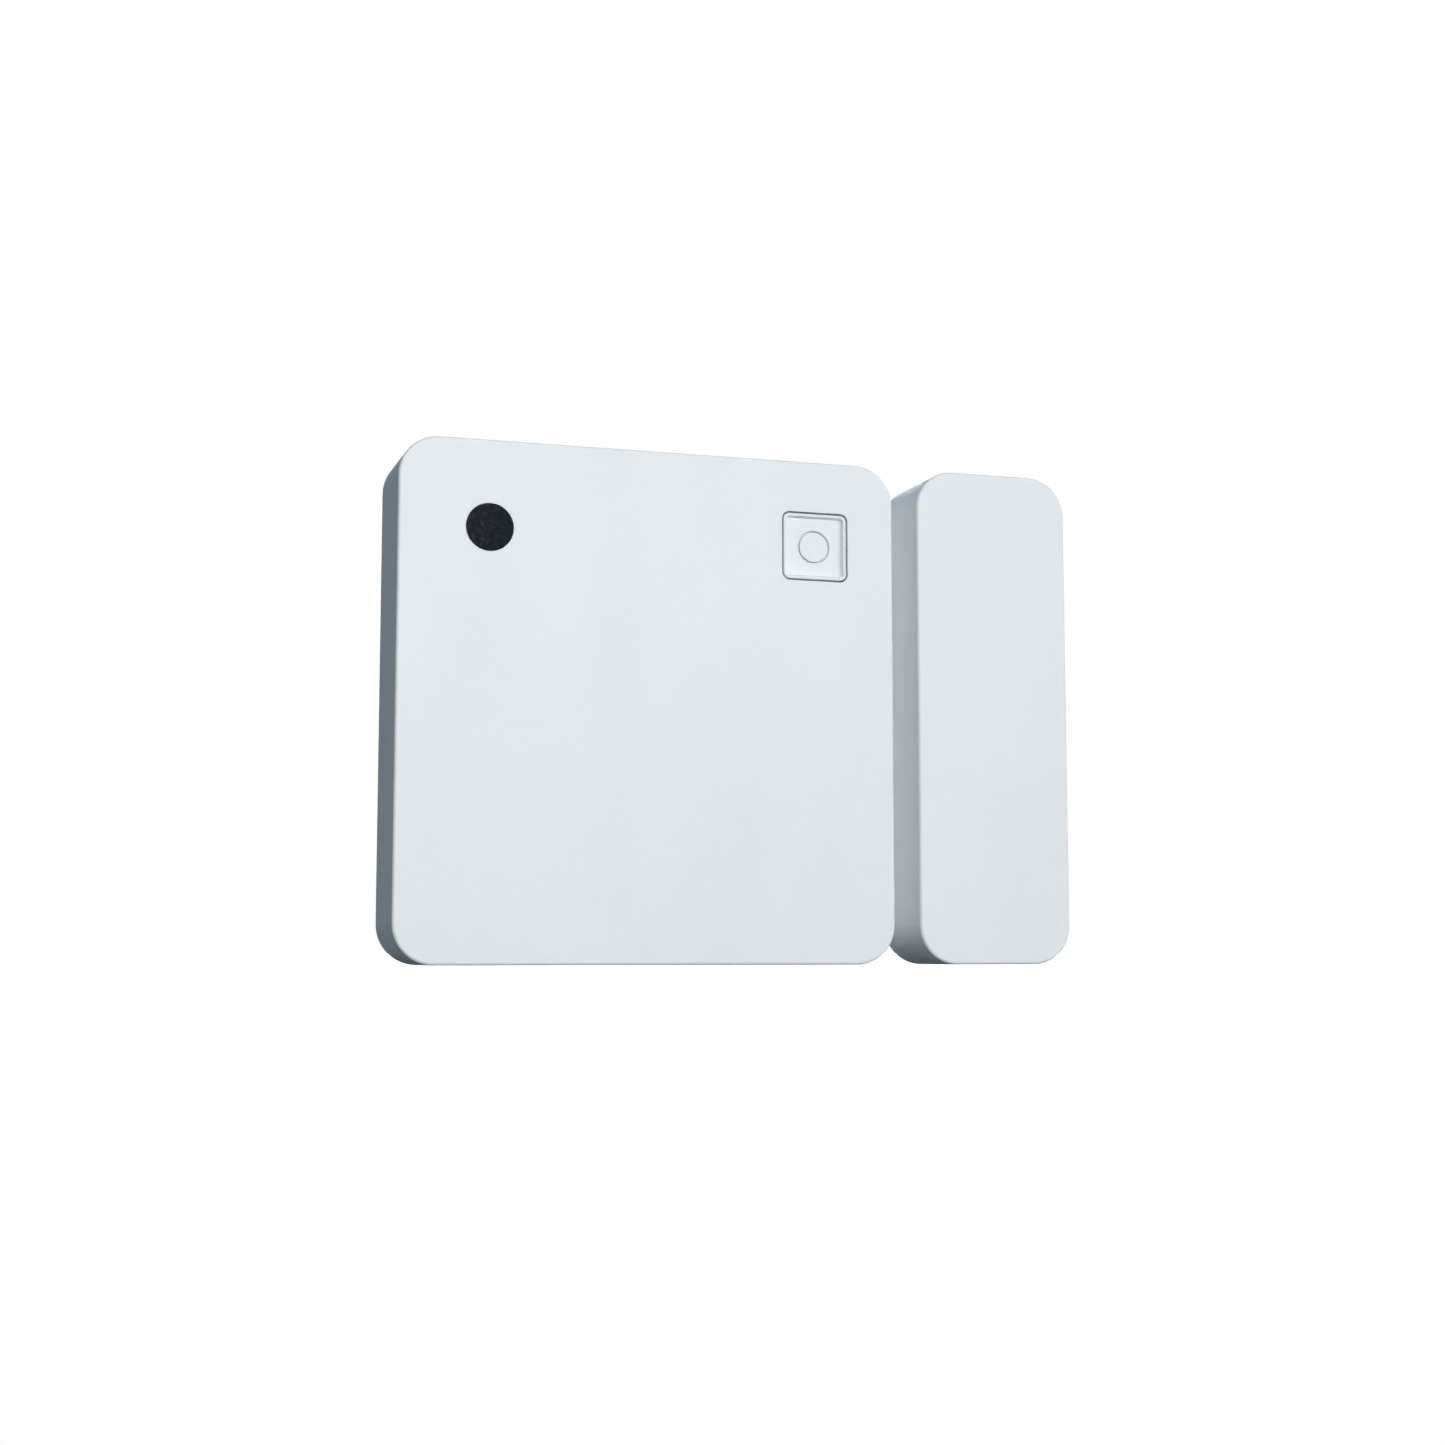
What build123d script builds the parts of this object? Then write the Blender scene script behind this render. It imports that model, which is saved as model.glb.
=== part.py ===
"""Door contact sensor: a square radio sensor unit and a narrow magnet unit that sits beside it.

Row frame, in millimetres: +X runs from the sensor unit to the magnet unit, +Z is up, and +Y points
into the door frame. The origin is the centre of the sensor unit's adhesive face, so the plane Y = 0
is the surface that both units are stuck to, and every "height" below is a distance out from it.
"""

import os
from math import cos, radians, sin

from build123d import *

# ---------------------------------------------------------------- outside of both units
SENSOR_SIDE = 35.0  # the sensor case is square
MAGNET_WIDTH = 11.5  # the magnet case is as tall as the sensor case
CASE_DEPTH = 6.8
CORNER_RADIUS = 2.75
WALL = 1.2
EDGE_ROUND = 0.2  # softened edge round each front face
UNIT_GAP = 1.9  # between the two cases with the door shut

PAD_DEPTH = 1.0  # foam tape under each unit
PAD_RADIUS = 2.0
PAD_INSET = 3.6

# ---------------------------------------------------------------- heights above the door frame
RIM = PAD_DEPTH  # rear rim of both covers
FRONT = RIM + CASE_DEPTH  # front face of both covers
CEILING = FRONT - WALL  # inside of the front wall
BASE_DEPTH = 1.0
BASE_TOP = RIM + BASE_DEPTH
BOARD_REST = 0.2  # low lands that the circuit board lies on
BOARD_DEPTH = 0.8
BOARD_BACK = BASE_TOP + BOARD_REST
BOARD_TOP = BOARD_BACK + BOARD_DEPTH

# ---------------------------------------------------------------- features of the front face
LENS_X, LENS_Z = -11.35, 11.55
LENS_RADIUS = 1.6
LENS_FLANGE_RADIUS = 2.1
LENS_FLANGE_DEPTH = 0.5
LENS_COLLAR_WALL = 0.7
LENS_COLLAR_DEPTH = 1.6
LENS_GAP = 0.03
GUIDE_LENGTH = 1.8
KEY_X, KEY_Z = 11.69, 11.51
KEY_SIDE = 4.62
KEY_RADIUS = 0.45
KEY_GAP = 0.12
KEY_RIM = 0.19  # raised border round the dished face
KEY_DISH = 0.3
KEY_DISH_SLOPE = 0.12  # how far the walls of the dish run in towards its floor
KEY_MARK_RADIUS = 1.1  # plain ring pressed into the key
KEY_MARK_LINE = 0.14
KEY_MARK_DEPTH = 0.3
KEY_FLANGE_SIDE = 6.0
KEY_FLANGE_DEPTH = 0.55
KEY_COLLAR_WALL = 0.8
KEY_COLLAR_DEPTH = 1.1

# ---------------------------------------------------------------- clearances
BASE_GAP = 0.15  # base plate inside its cover
SLIDE_GAP = 0.1  # pieces that pass each other as a cover comes off
TOUCH_GAP = 0.05  # stem over plunger, cell beside its spring

# ---------------------------------------------------------------- snap tongues and pry slots
TONGUE_WIDTH = 4.0
TONGUE_THICK = 0.8
TONGUE_HEIGHT = 2.6
TONGUE_NOSE = 0.1
NOSE_DEPTH = 0.45
NOSE_DROP = 0.7  # from the tip of a tongue to the back of its nose
SNAP_WINDOW_WIDTH = 5.0
SNAP_WINDOW_DEPTH = 0.4
SNAP_WINDOW_HEIGHT = 0.9
PRY_WIDTH = 5.0
PRY_DEPTH = 0.9
PRY_REACH = 1.2  # how far the slot runs in under the base plate's edge

# ---------------------------------------------------------------- circuit board
BOARD_SIDE = 31.4
BOARD_RADIUS = 1.4
BOARD_NOTCH = 0.7
PEG_RADIUS = 0.75
PEGS = [(-13.8, -13.8), (13.6, -13.8)]
POST_RADIUS = 0.8
POSTS = [(-14.2, 14.2), (7.6, -13.6)]

# ---------------------------------------------------------------- coin cell and its holder
CELL_X, CELL_Z = -4.0, -4.0
CELL_RADIUS = 10.0
CELL_DEPTH = 3.2
CELL_SKIN = 0.3
CELL_CAP_RADIUS = 8.7
CONTACT_THICK = 0.15
CELL_BACK = BOARD_TOP + CONTACT_THICK
HOLDER_WALL = 0.85
HOLDER_GAP = 0.15
HOLDER_HEIGHT = 2.4
HOLDER_SILL = 0.7  # what is left of the wall under the finger slot
CLIP_ANGLE = 45.0  # direction of the side spring from the cell's centre
CLIP_WIDTH = 5.0
FINGER_SLOT_ANGLE = 225.0
FINGER_SLOT_WIDTH = 7.0

# ---------------------------------------------------------------- tactile switch under the key
SWITCH_SIDE = 4.5
SWITCH_HEIGHT = 1.6
SWITCH_PLATE = 0.2
SWITCH_FLOOR = 0.4
SWITCH_WELL_RADIUS = 1.7
PLUNGER_RADIUS = 1.0
PLUNGER_FLANGE_RADIUS = 1.4
PLUNGER_PROUD = 0.4
DOME_RADIUS = 1.6
DOME_THICK = 0.08
DOME_CROWN = 0.35

# ---------------------------------------------------------------- reed switch
REED_X, REED_Z = 13.4, -3.4
REED_HEIGHT = 4.3
REED_GLASS_RADIUS = 1.0
REED_BORE_RADIUS = 0.72
REED_GLASS_LENGTH = 10.4
REED_SEAL = 1.5
REED_LEAD_RADIUS = 0.25
REED_LEAD_OUT = 1.6
REED_BLADE_WIDTH = 0.7
REED_BLADE_THICK = 0.16
REED_OVERLAP = 0.7
REED_CONTACT_GAP = 0.03

# ---------------------------------------------------------------- radio module and small chips
MODULE_X, MODULE_Z = -0.5, 11.5
MODULE_WIDTH, MODULE_HEIGHT, MODULE_BOARD = 13.0, 7.0, 0.6
SHIELD_WIDTH, SHIELD_HEIGHT, SHIELD_DEPTH = 8.4, 6.2, 1.5
SHIELD_SKIN = 0.15
TRACE_WIDTH = 0.35
TRACE_DEPTH = 0.05

# ---------------------------------------------------------------- magnet unit
MAGNET_X = SENSOR_SIDE / 2 + UNIT_GAP + MAGNET_WIDTH / 2
BAR_WIDTH, BAR_LENGTH, BAR_DEPTH = 6.0, 20.0, 3.0
CRADLE_WALL = 0.8
CRADLE_HEIGHT = 1.8
CRADLE_ARM = 3.0
KEEPER_RIBS = (-6.0, 6.0)
KEEPER_RIB_WIDTH = 1.0

INNER_RADIUS = CORNER_RADIUS - WALL
LENS_HOLE_RADIUS = LENS_RADIUS + LENS_GAP
SWITCH_TOP = BOARD_TOP + SWITCH_HEIGHT

os.makedirs("parts", exist_ok=True)


def out(height):
    """The plane parallel to the door frame at this height; its local axes are X and Z."""
    return Plane.XZ.offset(height)


def save(builder, label):
    """Labels a finished piece and writes it as its own STEP file."""
    builder.part.label = label
    export_step(builder.part, f"parts/{label}.step")


def front_edges(builder):
    """The outline edges of the foremost face."""
    return builder.faces().sort_by(Axis.Y)[0].outer_wire().edges()


# ---------------------------------------------------------------- front cover and what it carries
def tongue_places(half_width, half_height, on_sides):
    """Centre and turn of each snap tongue: top and bottom, and the two sides where asked."""
    places = [(0, half_height, 0), (0, -half_height, 180)]
    if on_sides:
        places += [(half_width, 0, -90), (-half_width, 0, 90)]
    return places


def build_cover(width, height, centre_x, on_sides):
    """An open-backed shell with pockets for the base's tongues and a pry slot in its lower rim."""
    with BuildPart() as cover:
        with BuildSketch(out(RIM)):
            with Locations((centre_x, 0)):
                RectangleRounded(width, height, CORNER_RADIUS)
        extrude(amount=CASE_DEPTH)
        fillet(front_edges(cover), EDGE_ROUND)
        with BuildSketch(out(RIM)):
            with Locations((centre_x, 0)):
                RectangleRounded(width - 2 * WALL, height - 2 * WALL, INNER_RADIUS)
        extrude(amount=CEILING - RIM, mode=Mode.SUBTRACT)
        nose_height = BASE_TOP + TONGUE_HEIGHT - SNAP_WINDOW_HEIGHT
        with BuildSketch(out(nose_height)):
            for x, z, turn in tongue_places(width / 2 - WALL, height / 2 - WALL, on_sides):
                with Locations(Location((centre_x + x, z, 0), (0, 0, turn))):
                    Rectangle(SNAP_WINDOW_WIDTH, 2 * SNAP_WINDOW_DEPTH)
        extrude(amount=SNAP_WINDOW_HEIGHT, mode=Mode.SUBTRACT)
        with BuildSketch(out(RIM)):
            with Locations((centre_x, -height / 2)):
                Rectangle(PRY_WIDTH, 3 * WALL)
        extrude(amount=PRY_DEPTH, mode=Mode.SUBTRACT)
    return cover.part


key_shaft_side = KEY_FLANGE_SIDE + 2 * KEY_GAP
key_collar_side = key_shaft_side + 2 * KEY_COLLAR_WALL

sensor_shell = build_cover(SENSOR_SIDE, SENSOR_SIDE, 0, True)

with BuildPart() as front_cover:
    add(sensor_shell)
    # collar behind the lens and square collar behind the key
    with BuildSketch(out(CEILING)):
        with Locations((LENS_X, LENS_Z)):
            Circle(LENS_FLANGE_RADIUS + LENS_COLLAR_WALL)
    extrude(amount=-LENS_COLLAR_DEPTH)
    with BuildSketch(out(CEILING)):
        with Locations((KEY_X, KEY_Z)):
            RectangleRounded(key_collar_side, key_collar_side, 1.0)
    extrude(amount=-KEY_COLLAR_DEPTH)
    with BuildSketch(out(CEILING)):
        with Locations((LENS_X, LENS_Z)):
            Circle(LENS_FLANGE_RADIUS)
        with Locations((KEY_X, KEY_Z)):
            RectangleRounded(key_shaft_side, key_shaft_side, 0.4)
    extrude(amount=-LENS_COLLAR_DEPTH, mode=Mode.SUBTRACT)
    # openings through the front wall
    with BuildSketch(out(FRONT)):
        with Locations((LENS_X, LENS_Z)):
            Circle(LENS_HOLE_RADIUS)
        with Locations((KEY_X, KEY_Z)):
            RectangleRounded(KEY_SIDE + 2 * KEY_GAP, KEY_SIDE + 2 * KEY_GAP, KEY_RADIUS + KEY_GAP)
    extrude(amount=-WALL, mode=Mode.SUBTRACT)
    # posts that keep the board down, and a low ring that keeps the cell down
    with BuildSketch(out(CEILING)):
        with Locations(*POSTS):
            Circle(POST_RADIUS)
    extrude(amount=-(CEILING - BOARD_TOP - SLIDE_GAP))
    with BuildSketch(out(CEILING)):
        with Locations((CELL_X, CELL_Z)):
            Circle(8.0)
            Circle(7.2, mode=Mode.SUBTRACT)
    extrude(amount=-(CEILING - CELL_BACK - CELL_DEPTH - SLIDE_GAP))
save(front_cover, "front_cover")

with BuildPart() as lens:
    with BuildSketch(out(CEILING)):
        with Locations((LENS_X, LENS_Z)):
            Circle(LENS_RADIUS)
    extrude(amount=WALL - LENS_GAP)
    with BuildSketch(out(CEILING)):
        with Locations((LENS_X, LENS_Z)):
            Circle(LENS_FLANGE_RADIUS - LENS_GAP)
    extrude(amount=-LENS_FLANGE_DEPTH)
save(lens, "lens")

with BuildPart() as light_guide:
    with BuildSketch(out(CEILING - LENS_FLANGE_DEPTH)):
        with Locations((LENS_X, LENS_Z)):
            Circle(LENS_FLANGE_RADIUS - LENS_GAP)
    extrude(amount=-GUIDE_LENGTH)
    chamfer(light_guide.faces().sort_by(Axis.Y)[-1].edges(), 0.5)
save(light_guide, "light_guide")

with BuildPart() as button_key:
    with BuildSketch(out(CEILING)):
        with Locations((KEY_X, KEY_Z)):
            RectangleRounded(KEY_SIDE, KEY_SIDE, KEY_RADIUS)
    extrude(amount=WALL)
    fillet(front_edges(button_key), 0.08)
    dish_side = KEY_SIDE - 2 * KEY_RIM
    floor_side = dish_side - 2 * KEY_DISH_SLOPE
    for height, side, radius in ((FRONT, dish_side, 0.3), (FRONT - KEY_DISH, floor_side, 0.16)):
        with BuildSketch(out(height)):
            with Locations((KEY_X, KEY_Z)):
                RectangleRounded(side, side, radius)
    loft(mode=Mode.SUBTRACT)
    with BuildSketch(out(FRONT - KEY_DISH)):
        with Locations((KEY_X, KEY_Z)):
            Circle(KEY_MARK_RADIUS + KEY_MARK_LINE / 2)
            Circle(KEY_MARK_RADIUS - KEY_MARK_LINE / 2, mode=Mode.SUBTRACT)
    extrude(amount=-KEY_MARK_DEPTH, mode=Mode.SUBTRACT)
    with BuildSketch(out(CEILING)):
        with Locations((KEY_X, KEY_Z)):
            RectangleRounded(KEY_FLANGE_SIDE, KEY_FLANGE_SIDE, 0.35)
    extrude(amount=-KEY_FLANGE_DEPTH)
    with BuildSketch(out(CEILING - KEY_FLANGE_DEPTH)):
        with Locations((KEY_X, KEY_Z)):
            Circle(PLUNGER_RADIUS + 0.1)
    extrude(amount=-(CEILING - KEY_FLANGE_DEPTH - SWITCH_TOP - PLUNGER_PROUD - TOUCH_GAP))
save(button_key, "button_key")


# ---------------------------------------------------------------- base plates and foam pads
def build_base(width, height, centre_x, on_sides):
    """A plate that fills the back of its cover, with sprung tongues round its edge."""
    half_w, half_h = width / 2 - WALL - BASE_GAP, height / 2 - WALL - BASE_GAP
    with BuildPart() as base:
        with BuildSketch(out(RIM)):
            with Locations((centre_x, 0)):
                RectangleRounded(2 * half_w, 2 * half_h, INNER_RADIUS - BASE_GAP)
        extrude(amount=BASE_DEPTH)
        with BuildSketch(out(BASE_TOP)):
            for x, z, turn in tongue_places(half_w, half_h, on_sides):
                with Locations(Location((centre_x + x, z, 0), (0, 0, turn))):
                    with Locations((0, -TONGUE_THICK / 2)):
                        Rectangle(TONGUE_WIDTH, TONGUE_THICK)
        extrude(amount=TONGUE_HEIGHT)
        with BuildSketch(out(BASE_TOP + TONGUE_HEIGHT - NOSE_DROP)):
            for x, z, turn in tongue_places(half_w, half_h, on_sides):
                with Locations(Location((centre_x + x, z, 0), (0, 0, turn))):
                    with Locations((0, TONGUE_NOSE - TONGUE_THICK / 2)):
                        Rectangle(TONGUE_WIDTH, TONGUE_THICK)
        extrude(amount=NOSE_DEPTH)
        with BuildSketch(out(RIM)):
            with Locations((centre_x, -half_h)):
                Rectangle(PRY_WIDTH, PRY_REACH)
        extrude(amount=PRY_DEPTH / 2, mode=Mode.SUBTRACT)
    return base.part


sensor_floor = build_base(SENSOR_SIDE, SENSOR_SIDE, 0, True)

with BuildPart() as base_plate:
    add(sensor_floor)
    # lands under the board
    with BuildSketch(out(BASE_TOP)):
        with Locations(*PEGS, *POSTS):
            Circle(1.5)
        with Locations((CELL_X, CELL_Z)):
            Circle(9.0)
            Circle(8.0, mode=Mode.SUBTRACT)
        with Locations((0, 12.5), (10.5, 5.0)):
            RectangleRounded(6.0, 1.0, 0.3)
    extrude(amount=BOARD_REST)
    # pegs that locate the board
    with BuildSketch(out(BOARD_BACK)):
        with Locations(*PEGS):
            Circle(PEG_RADIUS)
    extrude(amount=BOARD_DEPTH + 0.4)
save(base_plate, "base_plate")

with BuildPart() as sensor_pad:
    with BuildSketch(out(0)):
        RectangleRounded(SENSOR_SIDE - 2 * PAD_INSET, SENSOR_SIDE - 2 * PAD_INSET, PAD_RADIUS)
    extrude(amount=PAD_DEPTH)
save(sensor_pad, "sensor_pad")

# ---------------------------------------------------------------- circuit board
reed_end = REED_GLASS_LENGTH / 2 + REED_LEAD_OUT
REED_HOLES = [(REED_X, REED_Z + reed_end), (REED_X, REED_Z - reed_end)]

with BuildPart() as circuit_board:
    with BuildSketch(out(BOARD_BACK)):
        RectangleRounded(BOARD_SIDE, BOARD_SIDE, BOARD_RADIUS)
        for x, z, turn in tongue_places(BOARD_SIDE / 2, BOARD_SIDE / 2, True):
            with Locations(Location((x, z, 0), (0, 0, turn))):
                Rectangle(TONGUE_WIDTH + 0.8, 2 * BOARD_NOTCH, mode=Mode.SUBTRACT)
        with Locations(*PEGS):
            Circle(PEG_RADIUS + TOUCH_GAP, mode=Mode.SUBTRACT)
        with Locations(*REED_HOLES):
            Circle(REED_LEAD_RADIUS + TOUCH_GAP, mode=Mode.SUBTRACT)
    extrude(amount=BOARD_DEPTH)
save(circuit_board, "circuit_board")

# ---------------------------------------------------------------- cell holder and its two contacts
holder_inside = CELL_RADIUS + HOLDER_GAP
holder_outside = holder_inside + HOLDER_WALL

with BuildPart() as cell_holder:
    with BuildSketch(out(BOARD_TOP)):
        with Locations((CELL_X, CELL_Z)):
            Circle(holder_outside)
            Circle(holder_inside, mode=Mode.SUBTRACT)
    extrude(amount=HOLDER_HEIGHT)
    chamfer(cell_holder.faces().sort_by(Axis.Y)[0].inner_wires().edges(), 0.3)
    for angle, width, sill in (
        (CLIP_ANGLE, CLIP_WIDTH + 1, 0),
        (FINGER_SLOT_ANGLE, FINGER_SLOT_WIDTH, HOLDER_SILL),
    ):
        with BuildSketch(out(BOARD_TOP + sill)):
            with Locations(Location((CELL_X, CELL_Z, 0), (0, 0, angle))):
                with Locations((CELL_RADIUS, 0)):
                    Rectangle(6, width)
        extrude(amount=HOLDER_HEIGHT, mode=Mode.SUBTRACT)
save(cell_holder, "cell_holder")

with BuildPart() as positive_contact:
    clip_face = CELL_RADIUS + TOUCH_GAP
    clip_plane = Plane(
        origin=(CELL_X, -BOARD_TOP, CELL_Z),
        x_dir=(cos(radians(CLIP_ANGLE)), 0, sin(radians(CLIP_ANGLE))),
        z_dir=(sin(radians(CLIP_ANGLE)), 0, -cos(radians(CLIP_ANGLE))),
    )
    with BuildSketch(clip_plane):
        with BuildLine():
            foot_end = clip_face + 1.6
            leaf_top = 2.7
            bow = 0.45
            Polyline(
                (foot_end, 0),
                (clip_face + bow, 0),
                (clip_face, 1.6),
                (clip_face + bow, leaf_top),
                (clip_face + bow + CONTACT_THICK, leaf_top),
                (clip_face + CONTACT_THICK, 1.6),
                (clip_face + bow + CONTACT_THICK, CONTACT_THICK),
                (foot_end, CONTACT_THICK),
                close=True,
            )
        make_face()
    extrude(amount=CLIP_WIDTH / 2, both=True)
save(positive_contact, "positive_contact")

with BuildPart() as negative_contact:
    with BuildSketch(out(BOARD_TOP)):
        with Locations((CELL_X, CELL_Z)):
            Circle(5.0)
            Circle(3.6, mode=Mode.SUBTRACT)
            for angle in (0, 120, 240):
                with Locations(Location((0, 0, 0), (0, 0, angle))):
                    with Locations((2.4, 0)):
                        Rectangle(3.6, 1.3)
            with Locations((0, -6.4)):
                Rectangle(2.4, 3.4)
    extrude(amount=CONTACT_THICK)
save(negative_contact, "negative_contact")

# ---------------------------------------------------------------- coin cell
cell_front = CELL_BACK + CELL_DEPTH
can_lip = CELL_BACK + 0.1


def about_cell():
    """Plane through the cell's axis: local x is the radius and local y the height."""
    return Plane(origin=(CELL_X, 0, CELL_Z), x_dir=(1, 0, 0), z_dir=(0, 0, 1))


CELL_AXIS = Axis((CELL_X, 0, CELL_Z), (0, 1, 0))

with BuildPart() as cell_can:
    with BuildSketch(about_cell()):
        with BuildLine():
            Polyline(
                (0, -cell_front),
                (CELL_RADIUS - 0.35, -cell_front),
                (CELL_RADIUS, -cell_front + 0.35),
                (CELL_RADIUS, -can_lip - 0.5),
                (CELL_RADIUS - 0.5, -can_lip),
                (CELL_RADIUS - 0.8, -can_lip),
                (CELL_RADIUS - 0.8, -can_lip - CELL_SKIN),
                (CELL_RADIUS - CELL_SKIN, -can_lip - 0.75),
                (CELL_RADIUS - CELL_SKIN, -cell_front + CELL_SKIN),
                (0, -cell_front + CELL_SKIN),
                close=True,
            )
        make_face()
    revolve(axis=CELL_AXIS)
save(cell_can, "cell_can")

with BuildPart() as cell_cap:
    with BuildSketch(about_cell()):
        with BuildLine():
            Polyline(
                (0, -CELL_BACK),
                (CELL_CAP_RADIUS - 0.6, -CELL_BACK),
                (CELL_CAP_RADIUS, -CELL_BACK - 0.6),
                (CELL_CAP_RADIUS, -CELL_BACK - 1.6),
                (CELL_CAP_RADIUS - 0.25, -CELL_BACK - 1.6),
                (CELL_CAP_RADIUS - 0.25, -CELL_BACK - 0.7),
                (CELL_CAP_RADIUS - 0.7, -CELL_BACK - 0.25),
                (0, -CELL_BACK - 0.25),
                close=True,
            )
        make_face()
    revolve(axis=CELL_AXIS)
save(cell_cap, "cell_cap")

with BuildPart() as cell_gasket:
    with BuildSketch(about_cell()):
        with BuildLine():
            Polyline(
                (CELL_CAP_RADIUS + 0.02, -can_lip - 0.02),
                (CELL_RADIUS - 0.82, -can_lip - 0.02),
                (CELL_RADIUS - 0.82, -can_lip - 0.8),
                (CELL_RADIUS - 0.35, -can_lip - 1.0),
                (CELL_RADIUS - 0.35, -can_lip - 1.8),
                (CELL_CAP_RADIUS + 0.02, -can_lip - 1.8),
                close=True,
            )
        make_face()
    revolve(axis=CELL_AXIS)
save(cell_gasket, "cell_gasket")

with BuildPart() as cell_lithium:
    with BuildSketch(out(CELL_BACK + 0.26)):
        with Locations((CELL_X, CELL_Z)):
            Circle(7.8)
    extrude(amount=0.7)
save(cell_lithium, "cell_lithium")

with BuildPart() as cell_cathode:
    with BuildSketch(out(CELL_BACK + 1.05)):
        with Locations((CELL_X, CELL_Z)):
            Circle(8.1)
    extrude(amount=CELL_DEPTH - CELL_SKIN - 1.1)
save(cell_cathode, "cell_cathode")

# ---------------------------------------------------------------- tactile switch
switch_floor_top = BOARD_TOP + SWITCH_FLOOR
plate_back = SWITCH_TOP - SWITCH_PLATE

with BuildPart() as switch_body:
    with BuildSketch(out(BOARD_TOP)):
        with Locations((KEY_X, KEY_Z)):
            RectangleRounded(SWITCH_SIDE, SWITCH_SIDE, 0.3)
    extrude(amount=SWITCH_HEIGHT - SWITCH_PLATE)
    with BuildSketch(out(switch_floor_top)):
        with Locations((KEY_X, KEY_Z)):
            Circle(SWITCH_WELL_RADIUS)
    extrude(amount=plate_back - switch_floor_top, mode=Mode.SUBTRACT)
save(switch_body, "switch_body")

with BuildPart() as switch_plate:
    with BuildSketch(out(plate_back)):
        with Locations((KEY_X, KEY_Z)):
            RectangleRounded(SWITCH_SIDE, SWITCH_SIDE, 0.3)
            Circle(PLUNGER_RADIUS + SLIDE_GAP, mode=Mode.SUBTRACT)
    extrude(amount=SWITCH_PLATE)
    with BuildSketch(out(SWITCH_TOP)):
        with Locations((KEY_X - SWITCH_SIDE / 2 - 0.07, KEY_Z), (KEY_X + SWITCH_SIDE / 2 + 0.07, KEY_Z)):
            Rectangle(0.14, 2.2)
    extrude(amount=-1.0)
save(switch_plate, "switch_plate")

with BuildPart() as switch_terminals:
    with BuildSketch(out(BOARD_TOP)):
        with GridLocations(SWITCH_SIDE + 1.1, 3.0, 2, 2):
            with Locations((KEY_X, KEY_Z)):
                Rectangle(1.1, 0.6)
    extrude(amount=0.15)
save(switch_terminals, "switch_terminals")

with BuildPart() as switch_dome:
    with BuildSketch(Plane(origin=(KEY_X, 0, KEY_Z), x_dir=(1, 0, 0), z_dir=(0, 0, 1))):
        with BuildLine():
            Polyline(
                (DOME_RADIUS, -switch_floor_top),
                (0.8 * DOME_RADIUS, -switch_floor_top - 0.6 * DOME_CROWN),
                (0.3 * DOME_RADIUS, -switch_floor_top - DOME_CROWN),
                (0, -switch_floor_top - DOME_CROWN),
                (0, -switch_floor_top - DOME_CROWN + DOME_THICK),
                (0.28 * DOME_RADIUS, -switch_floor_top - DOME_CROWN + DOME_THICK),
                (0.76 * DOME_RADIUS, -switch_floor_top - 0.6 * DOME_CROWN + DOME_THICK),
                (0.92 * DOME_RADIUS, -switch_floor_top),
                close=True,
            )
        make_face()
    revolve(axis=Axis((KEY_X, 0, KEY_Z), (0, 1, 0)))
save(switch_dome, "switch_dome")

with BuildPart() as switch_plunger:
    flange_front = plate_back - TOUCH_GAP
    with BuildSketch(out(flange_front)):
        with Locations((KEY_X, KEY_Z)):
            Circle(PLUNGER_RADIUS)
    extrude(amount=SWITCH_TOP + PLUNGER_PROUD - flange_front)
    chamfer(front_edges(switch_plunger), 0.12)
    with BuildSketch(out(flange_front)):
        with Locations((KEY_X, KEY_Z)):
            Circle(PLUNGER_FLANGE_RADIUS)
    extrude(amount=-0.3)
    with BuildSketch(out(flange_front - 0.3)):
        with Locations((KEY_X, KEY_Z)):
            Circle(0.5)
    extrude(amount=-(flange_front - 0.3 - switch_floor_top - DOME_CROWN - 0.02))
save(switch_plunger, "switch_plunger")

# ---------------------------------------------------------------- reed switch
reed_cavity_end = REED_GLASS_LENGTH / 2 - REED_SEAL
REED_AXIS = Axis((REED_X, -REED_HEIGHT, 0), (0, 0, 1))


def along_reed():
    """Plane through the glass's axis: local x is the radius, along X, and local y runs along Z."""
    return Plane(origin=(REED_X, -REED_HEIGHT, REED_Z), x_dir=(1, 0, 0), z_dir=(0, -1, 0))


with BuildPart() as reed_glass:
    with BuildSketch(along_reed()):
        with BuildLine():
            half = REED_GLASS_LENGTH / 2
            nose = 0.6
            Line((REED_LEAD_RADIUS, -half), (REED_GLASS_RADIUS - nose, -half))
            RadiusArc((REED_GLASS_RADIUS - nose, -half), (REED_GLASS_RADIUS, -half + nose), -nose)
            Line((REED_GLASS_RADIUS, -half + nose), (REED_GLASS_RADIUS, half - nose))
            RadiusArc((REED_GLASS_RADIUS, half - nose), (REED_GLASS_RADIUS - nose, half), -nose)
            Line((REED_GLASS_RADIUS - nose, half), (REED_LEAD_RADIUS, half))
            Line((REED_LEAD_RADIUS, half), (REED_LEAD_RADIUS, -half))
        make_face()
    revolve(axis=REED_AXIS)
    with BuildSketch(along_reed()):
        with BuildLine():
            Polyline(
                (0, -reed_cavity_end),
                (REED_BORE_RADIUS - 0.25, -reed_cavity_end),
                (REED_BORE_RADIUS, -reed_cavity_end + 0.5),
                (REED_BORE_RADIUS, reed_cavity_end - 0.5),
                (REED_BORE_RADIUS - 0.25, reed_cavity_end),
                (0, reed_cavity_end),
                close=True,
            )
        make_face()
    revolve(axis=REED_AXIS, mode=Mode.SUBTRACT)
save(reed_glass, "reed_glass")


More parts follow.
